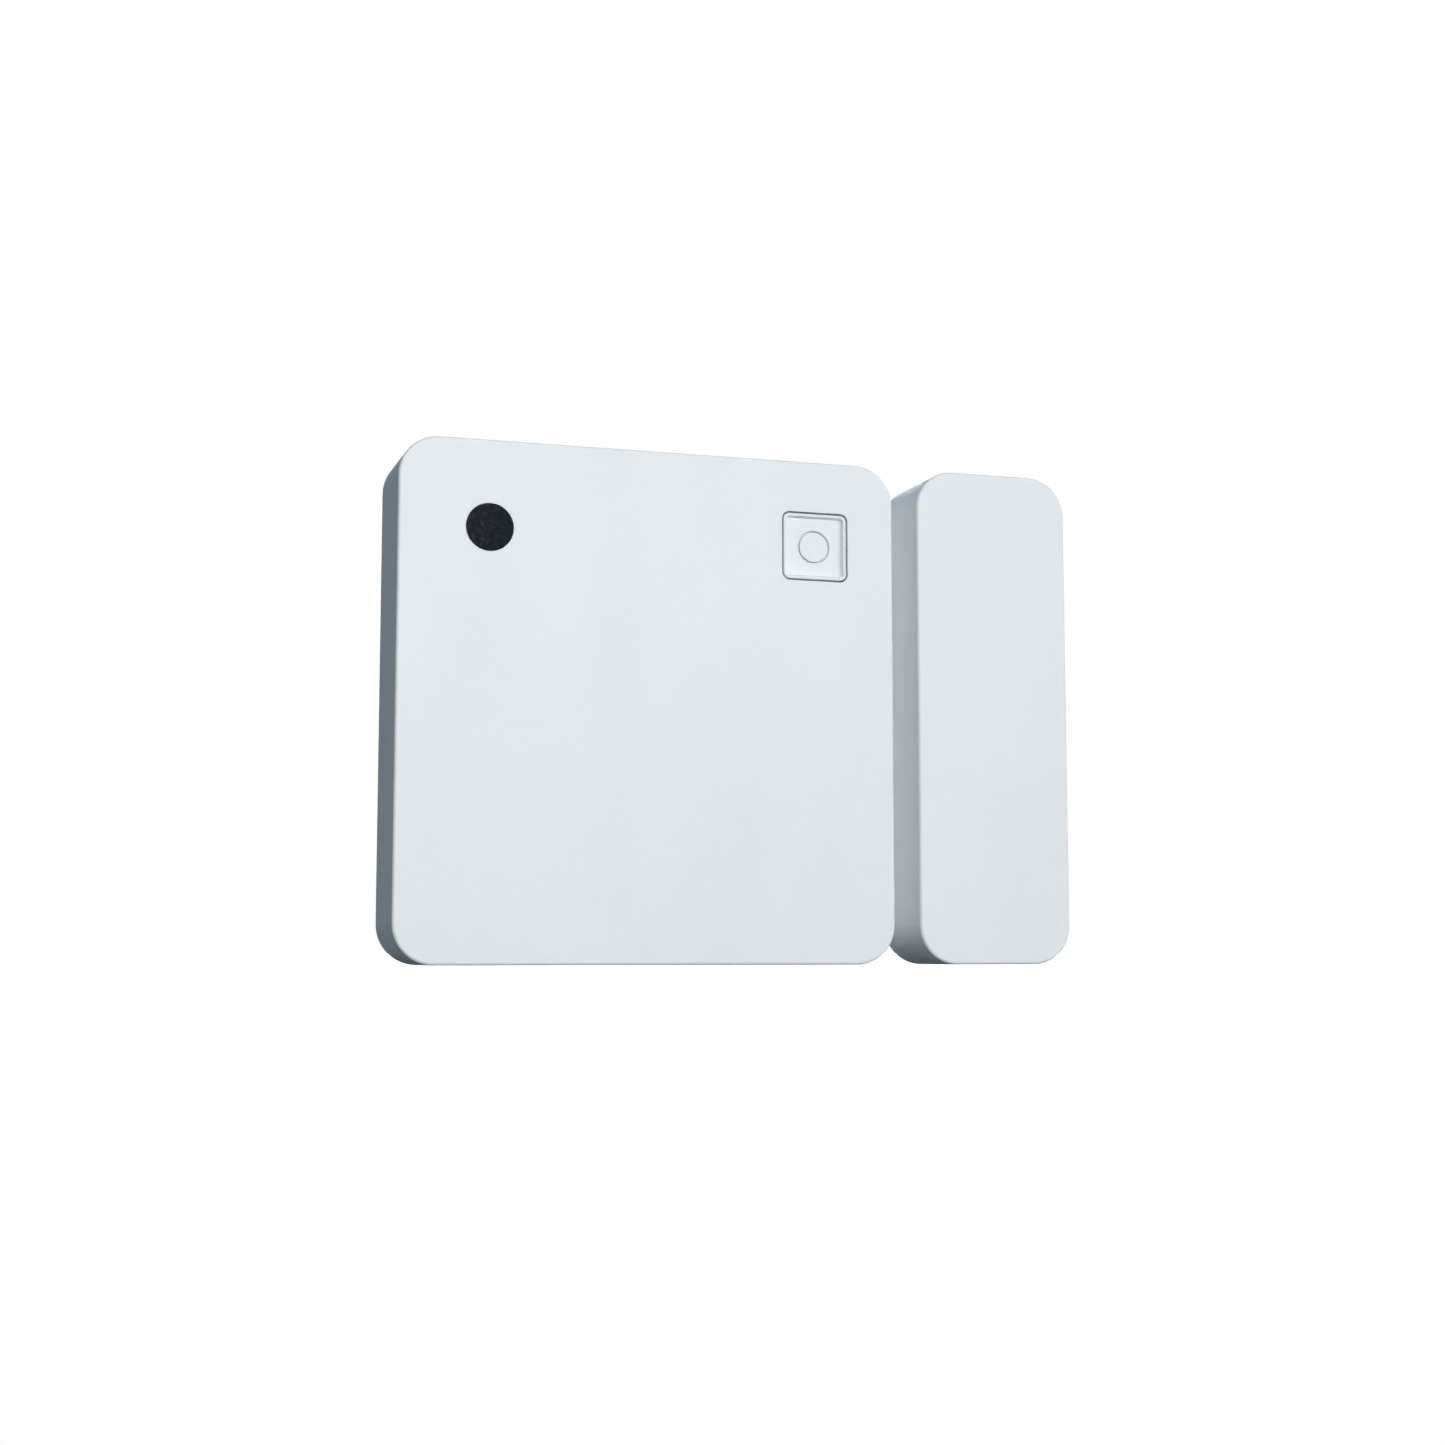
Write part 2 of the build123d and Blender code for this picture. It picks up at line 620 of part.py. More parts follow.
def build_reed_lead(way, blade_x=None):
    """A round lead from the board into the glass, carrying on as an offset blade where asked."""
    seal_inside = way * reed_cavity_end
    with BuildPart() as lead:
        with BuildLine() as path:
            FilletPolyline(
                (REED_X, -BOARD_BACK, REED_Z + way * reed_end),
                (REED_X, -REED_HEIGHT, REED_Z + way * reed_end),
                (REED_X, -REED_HEIGHT, REED_Z + seal_inside),
                radius=0.6,
            )
        with BuildSketch(Plane(origin=path.line @ 0, z_dir=path.line % 0)):
            Circle(REED_LEAD_RADIUS)
        sweep()
        if blade_x is not None:
            shoulder = 0.3
            blade_end = -way * REED_OVERLAP / 2
            with Locations((REED_X, -REED_HEIGHT, REED_Z + seal_inside - way * shoulder / 2)):
                Box(2 * abs(blade_x - REED_X) + REED_BLADE_THICK, REED_BLADE_WIDTH, shoulder)
            with Locations((blade_x, -REED_HEIGHT, REED_Z + (seal_inside + blade_end) / 2)):
                Box(REED_BLADE_THICK, REED_BLADE_WIDTH, abs(seal_inside - blade_end))
    return lead.part


blade_offset = (REED_BLADE_THICK + REED_CONTACT_GAP) / 2
lower_lead = build_reed_lead(-1, REED_X - blade_offset)
upper_lead = build_reed_lead(1)

with BuildPart() as reed_fixed_blade:
    add(lower_lead)
save(reed_fixed_blade, "reed_fixed_blade")

with BuildPart() as reed_upper_lead:
    add(upper_lead)
save(reed_upper_lead, "reed_upper_lead")

with BuildPart() as reed_moving_blade:
    blade_top = reed_cavity_end - TOUCH_GAP
    blade_bottom = -REED_OVERLAP / 2
    with Locations((REED_X + blade_offset, -REED_HEIGHT, REED_Z + (blade_top + blade_bottom) / 2)):
        Box(REED_BLADE_THICK, REED_BLADE_WIDTH, blade_top - blade_bottom)
save(reed_moving_blade, "reed_moving_blade")

with BuildPart() as reed_solder:
    for x, z in REED_HOLES:
        with Locations(Plane(origin=(x, -BOARD_TOP, z), z_dir=(0, -1, 0))):
            with Locations((0, 0, 0.2)):
                Cone(0.7, 0.35, 0.4)
        with Locations(Plane(origin=(x, -BOARD_TOP, z), z_dir=(0, -1, 0))):
            Cylinder(REED_LEAD_RADIUS, 3.0, mode=Mode.SUBTRACT)
save(reed_solder, "reed_solder")

# ---------------------------------------------------------------- radio module
module_top = BOARD_TOP + MODULE_BOARD
shield_x = MODULE_X + (MODULE_WIDTH - SHIELD_WIDTH) / 2 - 0.3

with BuildPart() as radio_board:
    with BuildSketch(out(BOARD_TOP)):
        with Locations((MODULE_X, MODULE_Z)):
            Rectangle(MODULE_WIDTH, MODULE_HEIGHT)
    extrude(amount=MODULE_BOARD)
save(radio_board, "radio_board")

with BuildPart() as radio_shield:
    with BuildSketch(out(module_top)):
        with Locations((shield_x, MODULE_Z)):
            RectangleRounded(SHIELD_WIDTH, SHIELD_HEIGHT, 0.4)
    extrude(amount=SHIELD_DEPTH)
    fillet(front_edges(radio_shield), 0.2)
    with BuildSketch(out(module_top)):
        with Locations((shield_x, MODULE_Z)):
            Rectangle(SHIELD_WIDTH - 2 * SHIELD_SKIN, SHIELD_HEIGHT - 2 * SHIELD_SKIN)
    extrude(amount=SHIELD_DEPTH - SHIELD_SKIN, mode=Mode.SUBTRACT)
save(radio_shield, "radio_shield")

with BuildPart() as radio_chip:
    with BuildSketch(out(module_top)):
        with Locations((shield_x, MODULE_Z)):
            Rectangle(4.0, 4.0)
    extrude(amount=0.8)
save(radio_chip, "radio_chip")

with BuildPart() as radio_antenna:
    trace_left = MODULE_X - MODULE_WIDTH / 2 + 0.5
    trace_pitch = 0.8
    trace_span = 2.6
    with BuildSketch(out(module_top)):
        for turn in range(7):
            low = MODULE_Z - 3 * trace_pitch + turn * trace_pitch
            with Locations((trace_left + trace_span / 2, low)):
                Rectangle(trace_span, TRACE_WIDTH)
            if turn < 6:
                edge = trace_left + (trace_span - TRACE_WIDTH / 2 if turn % 2 else TRACE_WIDTH / 2)
                with Locations((edge, low + trace_pitch / 2)):
                    Rectangle(TRACE_WIDTH, trace_pitch)
    extrude(amount=TRACE_DEPTH)
save(radio_antenna, "radio_antenna")


# ---------------------------------------------------------------- small surface-mounted pieces
def chips(thickness, places, width, height):
    """Adds equal rectangular chips, centred at each place on the board, to the current part."""
    with BuildSketch(out(BOARD_TOP)) as outline:
        with Locations(*places):
            Rectangle(width, height)
    extrude(outline.sketch, amount=thickness)


with BuildPart() as status_led:
    chips(0.55, [(LENS_X + 0.85, LENS_Z)], 0.8, 1.6)
save(status_led, "status_led")

with BuildPart() as light_sensor:
    chips(0.6, [(LENS_X - 0.55, LENS_Z)], 1.5, 2.0)
save(light_sensor, "light_sensor")

with BuildPart() as crystal:
    chips(0.75, [(9.6, 3.6)], 1.5, 3.2)
save(crystal, "crystal")

with BuildPart() as reservoir_capacitor:
    chips(1.8, [(9.6, -3.0)], 2.5, 3.2)
save(reservoir_capacitor, "reservoir_capacitor")

SMALL_CAPACITORS = [(9.0, 0.4), (10.4, 0.4), (10.0, -6.4), (-9.2, 8.6), (6.6, 7.0)]
with BuildPart() as capacitors:
    chips(0.5, SMALL_CAPACITORS, 0.8, 1.5)
save(capacitors, "capacitors")

SMALL_RESISTORS = [(9.0, -9.2), (10.4, -9.2), (11.8, -11.4), (-14.2, 8.0), (-12.8, 7.4)]
with BuildPart() as resistors:
    chips(0.4, SMALL_RESISTORS, 0.8, 1.5)
save(resistors, "resistors")

with BuildPart() as test_pads:
    with BuildSketch(out(BOARD_TOP)):
        with Locations((-14.4, 4.2), (-14.4, 5.8), (14.6, 4.8), (14.6, 6.6)):
            Circle(0.5)
    extrude(amount=TRACE_DEPTH)
save(test_pads, "test_pads")

# ---------------------------------------------------------------- magnet unit
magnet_shell = build_cover(MAGNET_WIDTH, SENSOR_SIDE, MAGNET_X, False)
magnet_floor = build_base(MAGNET_WIDTH, SENSOR_SIDE, MAGNET_X, False)

with BuildPart() as magnet_cover:
    add(magnet_shell)
    with BuildSketch(out(CEILING)):
        for rib_z in KEEPER_RIBS:
            with Locations((MAGNET_X, rib_z)):
                Rectangle(MAGNET_WIDTH - 2 * WALL, KEEPER_RIB_WIDTH)
    extrude(amount=-(CEILING - BASE_TOP - BAR_DEPTH - SLIDE_GAP))
save(magnet_cover, "magnet_cover")

with BuildPart() as magnet_base:
    add(magnet_floor)
    with BuildSketch(out(BASE_TOP)):
        with Locations((MAGNET_X, 0)):
            Rectangle(BAR_WIDTH + 2 * CRADLE_WALL, BAR_LENGTH + 2 * CRADLE_WALL)
            Rectangle(BAR_WIDTH, BAR_LENGTH, mode=Mode.SUBTRACT)
            Rectangle(BAR_WIDTH - 2.4, BAR_LENGTH + 6, mode=Mode.SUBTRACT)
            Rectangle(BAR_WIDTH + 6, BAR_LENGTH - 2 * CRADLE_ARM, mode=Mode.SUBTRACT)
    extrude(amount=CRADLE_HEIGHT)
save(magnet_base, "magnet_base")

with BuildPart() as bar_magnet:
    with BuildSketch(out(BASE_TOP)):
        with Locations((MAGNET_X, 0)):
            Rectangle(BAR_WIDTH, BAR_LENGTH)
    extrude(amount=BAR_DEPTH)
    chamfer(bar_magnet.edges(), 0.2)
save(bar_magnet, "bar_magnet")

with BuildPart() as magnet_pad:
    with BuildSketch(out(0)):
        with Locations((MAGNET_X, 0)):
            RectangleRounded(MAGNET_WIDTH - 2 * 2.2, SENSOR_SIDE - 2 * PAD_INSET, PAD_RADIUS / 2)
    extrude(amount=PAD_DEPTH)
save(magnet_pad, "magnet_pad")
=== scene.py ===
"""Looks of the door contact sensor: materials for every CAD node, the fine pieces of the circuit
board, the foam pads, the marks on the coin cell and inside the covers, the camera, the light and
the floor.

Places and sizes are in millimetres unless a comment says metres. x and z lie in the plane of the
door frame, and a height is a distance out from it, towards -Y.
"""

import math
import random

import bmesh
import bpy
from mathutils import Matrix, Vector


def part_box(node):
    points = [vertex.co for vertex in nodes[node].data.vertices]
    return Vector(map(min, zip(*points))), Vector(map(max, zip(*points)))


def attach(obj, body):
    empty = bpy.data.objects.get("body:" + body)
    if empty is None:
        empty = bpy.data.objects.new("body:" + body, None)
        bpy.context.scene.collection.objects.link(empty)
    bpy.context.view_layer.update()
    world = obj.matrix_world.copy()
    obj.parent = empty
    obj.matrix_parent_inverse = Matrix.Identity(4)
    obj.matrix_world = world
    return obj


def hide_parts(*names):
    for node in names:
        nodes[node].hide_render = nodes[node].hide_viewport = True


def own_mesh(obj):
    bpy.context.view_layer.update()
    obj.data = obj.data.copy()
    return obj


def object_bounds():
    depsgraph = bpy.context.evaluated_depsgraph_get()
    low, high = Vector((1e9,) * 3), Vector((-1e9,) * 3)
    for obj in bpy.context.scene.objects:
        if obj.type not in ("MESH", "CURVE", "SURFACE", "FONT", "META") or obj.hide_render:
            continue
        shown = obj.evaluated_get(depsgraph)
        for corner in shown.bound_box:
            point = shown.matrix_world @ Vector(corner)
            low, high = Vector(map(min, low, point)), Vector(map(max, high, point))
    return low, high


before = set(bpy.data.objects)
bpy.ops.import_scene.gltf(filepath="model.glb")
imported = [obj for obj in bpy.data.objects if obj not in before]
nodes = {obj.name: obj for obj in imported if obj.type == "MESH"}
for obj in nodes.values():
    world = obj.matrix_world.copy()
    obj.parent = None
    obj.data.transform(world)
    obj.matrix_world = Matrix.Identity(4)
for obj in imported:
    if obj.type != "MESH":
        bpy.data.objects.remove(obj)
cad_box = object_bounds()

MM = 0.001  # metres in a millimetre
WAVE_PERIOD = 0.314  # pitch of the bands of a wave texture at scale 1
ENDS = (-1, 1)
CORNERS = [(over_x, over_z) for over_x in ENDS for over_z in ENDS]
scene = bpy.context.scene


# ------------------------------------------------------------------ material building blocks
class Shader:
    """A node material around one Principled shader, with texture sizes in millimetres."""

    def __init__(self, name):
        self.material = bpy.data.materials.new(name)
        self.material.use_nodes = True
        self.tree = self.material.node_tree
        self.tree.nodes.clear()
        self.out = self.add("ShaderNodeOutputMaterial")
        self.bsdf = self.add("ShaderNodeBsdfPrincipled")
        self.link(self.bsdf.outputs["BSDF"], self.out.inputs["Surface"])
        self.coordinates = self.add("ShaderNodeTexCoord").outputs["Object"]
        self.normal = None

    def add(self, kind, **settings):
        """A new node of one kind, with its properties set."""
        node = self.tree.nodes.new(kind)
        for key, value in settings.items():
            setattr(node, key, value)
        return node

    def link(self, source, target):
        self.tree.links.new(source, target)

    def place(self, scale=(1, 1, 1), centre=(0, 0, 0)):
        """Millimetres from centre, multiplied by scale."""
        mapping = self.add("ShaderNodeMapping")
        mapping.inputs["Location"].default_value = [-c * s for c, s in zip(centre, scale)]
        mapping.inputs["Scale"].default_value = [s / MM for s in scale]
        self.link(self.coordinates, mapping.inputs["Vector"])
        return mapping.outputs["Vector"]

    def texture(self, kind, vector, output, inputs=None, **settings):
        """One output of a texture node at scale 1 over vector; inputs are its other values."""
        node = self.add(kind, **settings)
        for name, number in {"Scale": 1.0, **(inputs or {})}.items():
            node.inputs[name].default_value = number
        self.link(vector, node.inputs["Vector"])
        return node.outputs[output]

    def noise(self, size, detail=3.0, rough=0.5, stretch=(1, 1, 1), seed=0.0):
        """Noise whose largest features are about size millimetres across."""
        vector = self.place([s / size for s in stretch], (seed, seed, seed))
        inputs = {"Detail": detail, "Roughness": rough}
        return self.texture("ShaderNodeTexNoise", vector, "Fac", inputs, noise_dimensions="3D")

    def cells(self, size):
        """Distance to the nearest of points about size millimetres apart."""
        vector = self.place([1 / size] * 3)
        return self.texture("ShaderNodeTexVoronoi", vector, "Distance", feature="F1")

    def bands(self, pitch, direction):
        """Sine bands of this pitch, one after another along X, Y or Z."""
        vector = self.place([WAVE_PERIOD / pitch] * 3)
        return self.texture(
            "ShaderNodeTexWave", vector, "Fac", wave_type="BANDS", bands_direction=direction
        )

    def rings(self, pitch, centre):
        """Slightly uneven rings of this pitch round an axis along Y."""
        vector = self.place([WAVE_PERIOD / pitch] * 3, centre)
        inputs = {"Distortion": 2.0, "Detail": 4.0}
        return self.texture(
            "ShaderNodeTexWave", vector, "Fac", inputs, wave_type="RINGS", rings_direction="Y"
        )

    def ramp(self, value, stops):
        """A colour ramp over value; stops are (position, colour) pairs."""
        ramp = self.add("ShaderNodeValToRGB")
        elements = ramp.color_ramp.elements
        while len(elements) < len(stops):
            elements.new(0.5)
        for element, (position, colour) in zip(elements, stops):
            element.position = position
            element.color = (*colour, 1.0)
        self.link(value, ramp.inputs["Fac"])
        return ramp.outputs["Color"]

    def level(self, value, low, high, start=0.3, stop=0.7):
        """value carried from start..stop to low..high, and held within those limits."""
        node = self.add("ShaderNodeMapRange")
        limits = {"From Min": start, "From Max": stop, "To Min": low, "To Max": high}
        for name, number in limits.items():
            node.inputs[name].default_value = number
        self.link(value, node.inputs["Value"])
        return node.outputs["Result"]

    def colour(self, source):
        """Source drives the base colour."""
        self.link(source, self.bsdf.inputs["Base Color"])

    def rough(self, source):
        """Source drives the roughness."""
        self.link(source, self.bsdf.inputs["Roughness"])

    def bump(self, height, depth, strength=1.0):
        """Adds a bump whose full height is depth millimetres, on top of any before it."""
        node = self.add("ShaderNodeBump")
        node.inputs["Strength"].default_value = strength
        node.inputs["Distance"].default_value = depth * MM
        self.link(height, node.inputs["Height"])
        if self.normal is not None:
            self.link(self.normal, node.inputs["Normal"])
        self.normal = node.outputs["Normal"]
        self.link(self.normal, self.bsdf.inputs["Normal"])

    def set(self, **values):
        """Sets the Principled shader's own values, with _ for each space in a name."""
        for name, value in values.items():
            self.bsdf.inputs[name.replace("_", " ")].default_value = value


def shade(colour, factor):
    """A colour made darker or lighter."""
    return tuple(min(c * factor, 1.0) for c in colour)


def moulded(name, colour, rough=0.5, grain=0.12, grain_depth=0.006, mottle=0.015, glow=0.0):
    """Moulded plastic: a fine spark-eroded grain and faint mottling where it flowed."""
    s = Shader(name)
    s.set(IOR=1.49, Specular_IOR_Level=0.4)
    if glow:
        s.set(Subsurface_Weight=glow, Subsurface_Radius=(1.0, 0.9, 0.8), Subsurface_Scale=0.4 * MM)
    flow = s.noise(9.0, detail=2.0, stretch=(1, 1, 0.55))
    fine = s.noise(grain, detail=2.0, rough=0.6)
    s.colour(s.ramp(flow, [(0.3, shade(colour, 1 - mottle)), (0.7, shade(colour, 1 + mottle))]))
    s.rough(s.level(fine, rough - 0.05, rough + 0.07))
    s.bump(fine, grain_depth, 0.7)
    return s.material


def metal(name, colour, rough=0.3, along=(1, 1, 1), scratch=0.12, tarnish=0.07, depth=0.0012):
    """Bare or plated metal with drawn or rolled marks along one direction, and faint tarnish."""
    s = Shader(name)
    s.set(Metallic=1.0)
    marks = s.noise(scratch, detail=3.0, rough=0.6, stretch=along)
    cloud = s.noise(2.6, detail=2.0, seed=5.0)
    s.colour(s.ramp(cloud, [(0.3, shade(colour, 1 - tarnish)), (0.65, colour)]))
    s.rough(s.level(marks, rough - 0.03, rough + 0.06))
    s.bump(marks, depth, 0.4)
    return s.material


def spun_steel(name, colour, centre):
    """Steel pressed and spun about an axis along Y, with fine rings and a few finger smudges."""
    s = Shader(name)
    s.set(Metallic=1.0)
    rings = s.rings(0.16, centre)
    smudge = s.noise(6.5, detail=3.0)
    s.colour(s.ramp(smudge, [(0.35, shade(colour, 0.96)), (0.6, colour)]))
    s.rough(s.level(smudge, 0.24, 0.29))
    s.bump(rings, 0.004, 0.5)
    return s.material


def solder_mask(name, colour, weave=0.42):
    """Laminate under solder mask: the cloth's weave shows through as a faint grid."""
    s = Shader(name)
    s.set(IOR=1.55, Specular_IOR_Level=0.5)
    cloud = s.noise(6.0, detail=3.0)
    s.colour(s.ramp(cloud, [(0.3, shade(colour, 0.85)), (0.7, shade(colour, 1.15))]))
    s.rough(s.level(s.noise(0.5), 0.28, 0.40))
    s.bump(s.bands(weave, "X"), 0.006, 0.5)
    s.bump(s.bands(weave, "Z"), 0.006, 0.5)
    return s.material


def foam(name, colour):
    """Closed-cell foam cut to shape: open pores of two sizes over a soft body mottled by painted
    shade, darker at the bottom of each larger pore.
    """
    s = Shader(name)
    s.set(Specular_IOR_Level=0.2)
    pores = s.cells(0.22)
    fine = s.cells(0.09)
    # painted shade: each larger pore darkens towards its bottom, with a faint painted highlight on
    # the ridges between pores
    pore_shade_colours = [(0.05, shade(colour, 0.72)), (0.35, colour), (0.8, shade(colour, 1.06))]
    s.colour(s.ramp(pores, pore_shade_colours))
    s.rough(s.level(fine, 0.8, 0.95, 0.1, 0.6))
    s.bump(pores, 0.05, 0.8)
    s.bump(fine, 0.02, 0.6)
    return s.material


def film(name, colour):
    """Thin adhesive film: smooth and tacky, with a faint crossed emboss from the liner."""
    s = Shader(name)
    s.set(IOR=1.47, Coat_Weight=0.2, Coat_Roughness=0.25)
    cloud = s.noise(5.0, detail=2.0)
    s.colour(s.ramp(cloud, [(0.3, shade(colour, 0.97)), (0.7, colour)]))
    s.rough(s.level(cloud, 0.32, 0.40))
    s.bump(s.bands(0.9, "X"), 0.006, 0.5)
    s.bump(s.bands(0.9, "Z"), 0.006, 0.5)
    return s.material


def clear(name, colour, rough, ior):
    """Clear glass or acrylic, faintly streaked along Z and tinted."""
    s = Shader(name)
    s.set(Transmission_Weight=1.0, IOR=ior)
    streak = s.noise(1.2, detail=2.0, stretch=(1, 1, 0.2))
    s.colour(s.ramp(streak, [(0.3, shade(colour, 0.97)), (0.7, colour)]))
    s.rough(s.level(streak, rough, rough + 0.03))
    s.bump(streak, 0.004, 0.4)
    return s.material


def powder(name, colour, size=0.08, rough=0.8, depth=0.02):
    """Fired ceramic, pressed powder or cast epoxy: matte with a speckle of grains."""
    s = Shader(name)
    grains = s.noise(size, detail=4.0, rough=0.7)
    s.colour(s.ramp(grains, [(0.35, shade(colour, 0.8)), (0.65, shade(colour, 1.15))]))
    s.rough(s.level(grains, rough - 0.1, rough + 0.08))
    s.bump(grains, depth, 0.6)
    return s.material


# ------------------------------------------------------------------ the materials
WHITE = (0.806, 0.818, 0.824)
STEEL = (0.62, 0.63, 0.65)
NICKEL = (0.66, 0.63, 0.57)
GOLD = (0.83, 0.60, 0.27)

can_low, can_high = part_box("cell_can")
cell_x, cell_z = ((can_low[i] + can_high[i]) / 2 / MM for i in (0, 2))

case = moulded("case_plastic", WHITE, rough=0.52, glow=0.25)
button = moulded("button_plastic", WHITE, rough=0.46, grain=0.09, grain_depth=0.004, glow=0.25)
base = moulded("base_plastic", (0.74, 0.77, 0.79), rough=0.55, grain=0.16, grain_depth=0.008)
lens_tint = moulded("lens_tint", (0.008, 0.0098, 0.0148), rough=0.09, grain=0.3, grain_depth=0.0005)
holder_black = moulded("holder_plastic", (0.022, 0.022, 0.024), rough=0.48, grain=0.14)
switch_black = moulded("switch_plastic", (0.018, 0.018, 0.02), rough=0.42, grain=0.08)
plunger_dark = moulded("plunger_plastic", (0.055, 0.05, 0.045), rough=0.38, grain=0.08)
gasket_grey = moulded("gasket_plastic", (0.16, 0.165, 0.17), rough=0.5)
acrylic = clear("guide_acrylic", (0.93, 0.96, 0.97), 0.04, 1.49)
glass = clear("reed_glass_tube", (0.86, 0.95, 0.90), 0.0, 1.51)
led_resin = moulded(
    "led_resin", (0.86, 0.70, 0.20), rough=0.22, grain=0.06, grain_depth=0.002, glow=0.4
)
foam_grey = foam("pad_foam", (0.60, 0.61, 0.62))
film_pale = film("pad_film", (0.80, 0.80, 0.77))
mask_green = solder_mask("board_mask", (0.012, 0.13, 0.065))
track_green = moulded("track_mask", (0.03, 0.24, 0.11), rough=0.3, grain=0.1, grain_depth=0.002)
mask_blue = solder_mask("module_mask", (0.006, 0.028, 0.09), weave=0.3)
ink_white = powder("board_ink", (0.78, 0.79, 0.78), size=0.05, rough=0.6, depth=0.003)
contact_nickel = metal("contact_nickel", NICKEL, rough=0.28, tarnish=0.04, depth=0.0006)
spun = spun_steel("cell_steel", STEEL, (cell_x, 0, cell_z))
switch_steel = metal("switch_steel", STEEL, rough=0.26, along=(0.06, 1, 1))
reed_metal = metal("reed_wire", (0.50, 0.48, 0.44), rough=0.3, along=(1, 1, 0.06))
solder_bright = metal(
    "solder", (0.66, 0.67, 0.69), rough=0.2, scratch=0.35, tarnish=0.15, depth=0.006
)
tin = metal("shield_tin", (0.66, 0.66, 0.64), rough=0.3, along=(0.05, 1, 1))
gold = metal("gold_flash", GOLD, rough=0.3, depth=0.0006)
end_tin = metal("termination_tin", (0.68, 0.68, 0.67), rough=0.34)
magnet_nickel = metal("magnet_nickel", (0.68, 0.67, 0.64), rough=0.3, tarnish=0.03, depth=0.0006)
lithium = metal("lithium", (0.50, 0.51, 0.54), rough=0.5, scratch=0.5, tarnish=0.25, depth=0.008)
cell_etch = metal("cell_etching", (0.40, 0.41, 0.43), rough=0.5, scratch=0.08, depth=0.003)
cathode = powder("cathode_powder", (0.02, 0.02, 0.022), size=0.1)
epoxy = powder("chip_epoxy", (0.022, 0.022, 0.023), size=0.06, rough=0.62, depth=0.008)
ceramic_tan = powder("capacitor_ceramic", (0.36, 0.25, 0.15), size=0.07, rough=0.5, depth=0.006)
ceramic_white = powder("package_ceramic", (0.66, 0.66, 0.63), size=0.06, rough=0.5, depth=0.005)
resistor_glaze = moulded(
    "resistor_glaze", (0.014, 0.014, 0.016), rough=0.28, grain=0.1, grain_depth=0.003
)
tantalum = moulded("tantalum_mould", (0.60, 0.31, 0.035), rough=0.4, grain=0.08, mottle=0.06)
stripe_brown = powder("polarity_ink", (0.10, 0.035, 0.012), size=0.05, rough=0.5, depth=0.003)
sensor_resin = moulded("sensor_resin", (0.05, 0.04, 0.05), rough=0.1, grain=0.2, grain_depth=0.001)

CARRIED = {
    "front_cover": case, "magnet_cover": case, "button_key": button, "lens": lens_tint,
    "light_guide": acrylic, "base_plate": base, "magnet_base": base, "circuit_board": mask_green,
    "cell_holder": holder_black, "positive_contact": contact_nickel,
    "negative_contact": contact_nickel, "cell_can": spun, "cell_cap": spun,
    "cell_gasket": gasket_grey, "cell_lithium": lithium, "cell_cathode": cathode,
    "switch_body": switch_black, "switch_plate": switch_steel, "switch_terminals": switch_steel,
    "switch_plunger": plunger_dark, "reed_glass": glass, "reed_fixed_blade": reed_metal,
    "reed_upper_lead": reed_metal, "reed_moving_blade": reed_metal, "radio_board": mask_blue,
    "radio_shield": tin, "radio_chip": epoxy, "radio_antenna": gold, "test_pads": gold,
    "bar_magnet": magnet_nickel,
}
for name, material in CARRIED.items():
    nodes[name].data.materials.clear()
    nodes[name].data.materials.append(material)


# ------------------------------------------------------------------ mesh building blocks
SHARPEST_MITRE = 0.3  # least cosine between a strip's arm and the cut at its corner
ARC_STEPS = 14  # in each round corner of an outline
SIDE_STEPS = 26  # in each straight side of an outline
LEAST_SIDE = 1.0
LEAST_RADIUS = 0.05


def at(x, height, z):
    """A point in metres from millimetres."""
    return Vector((x * MM, -height * MM, z * MM))


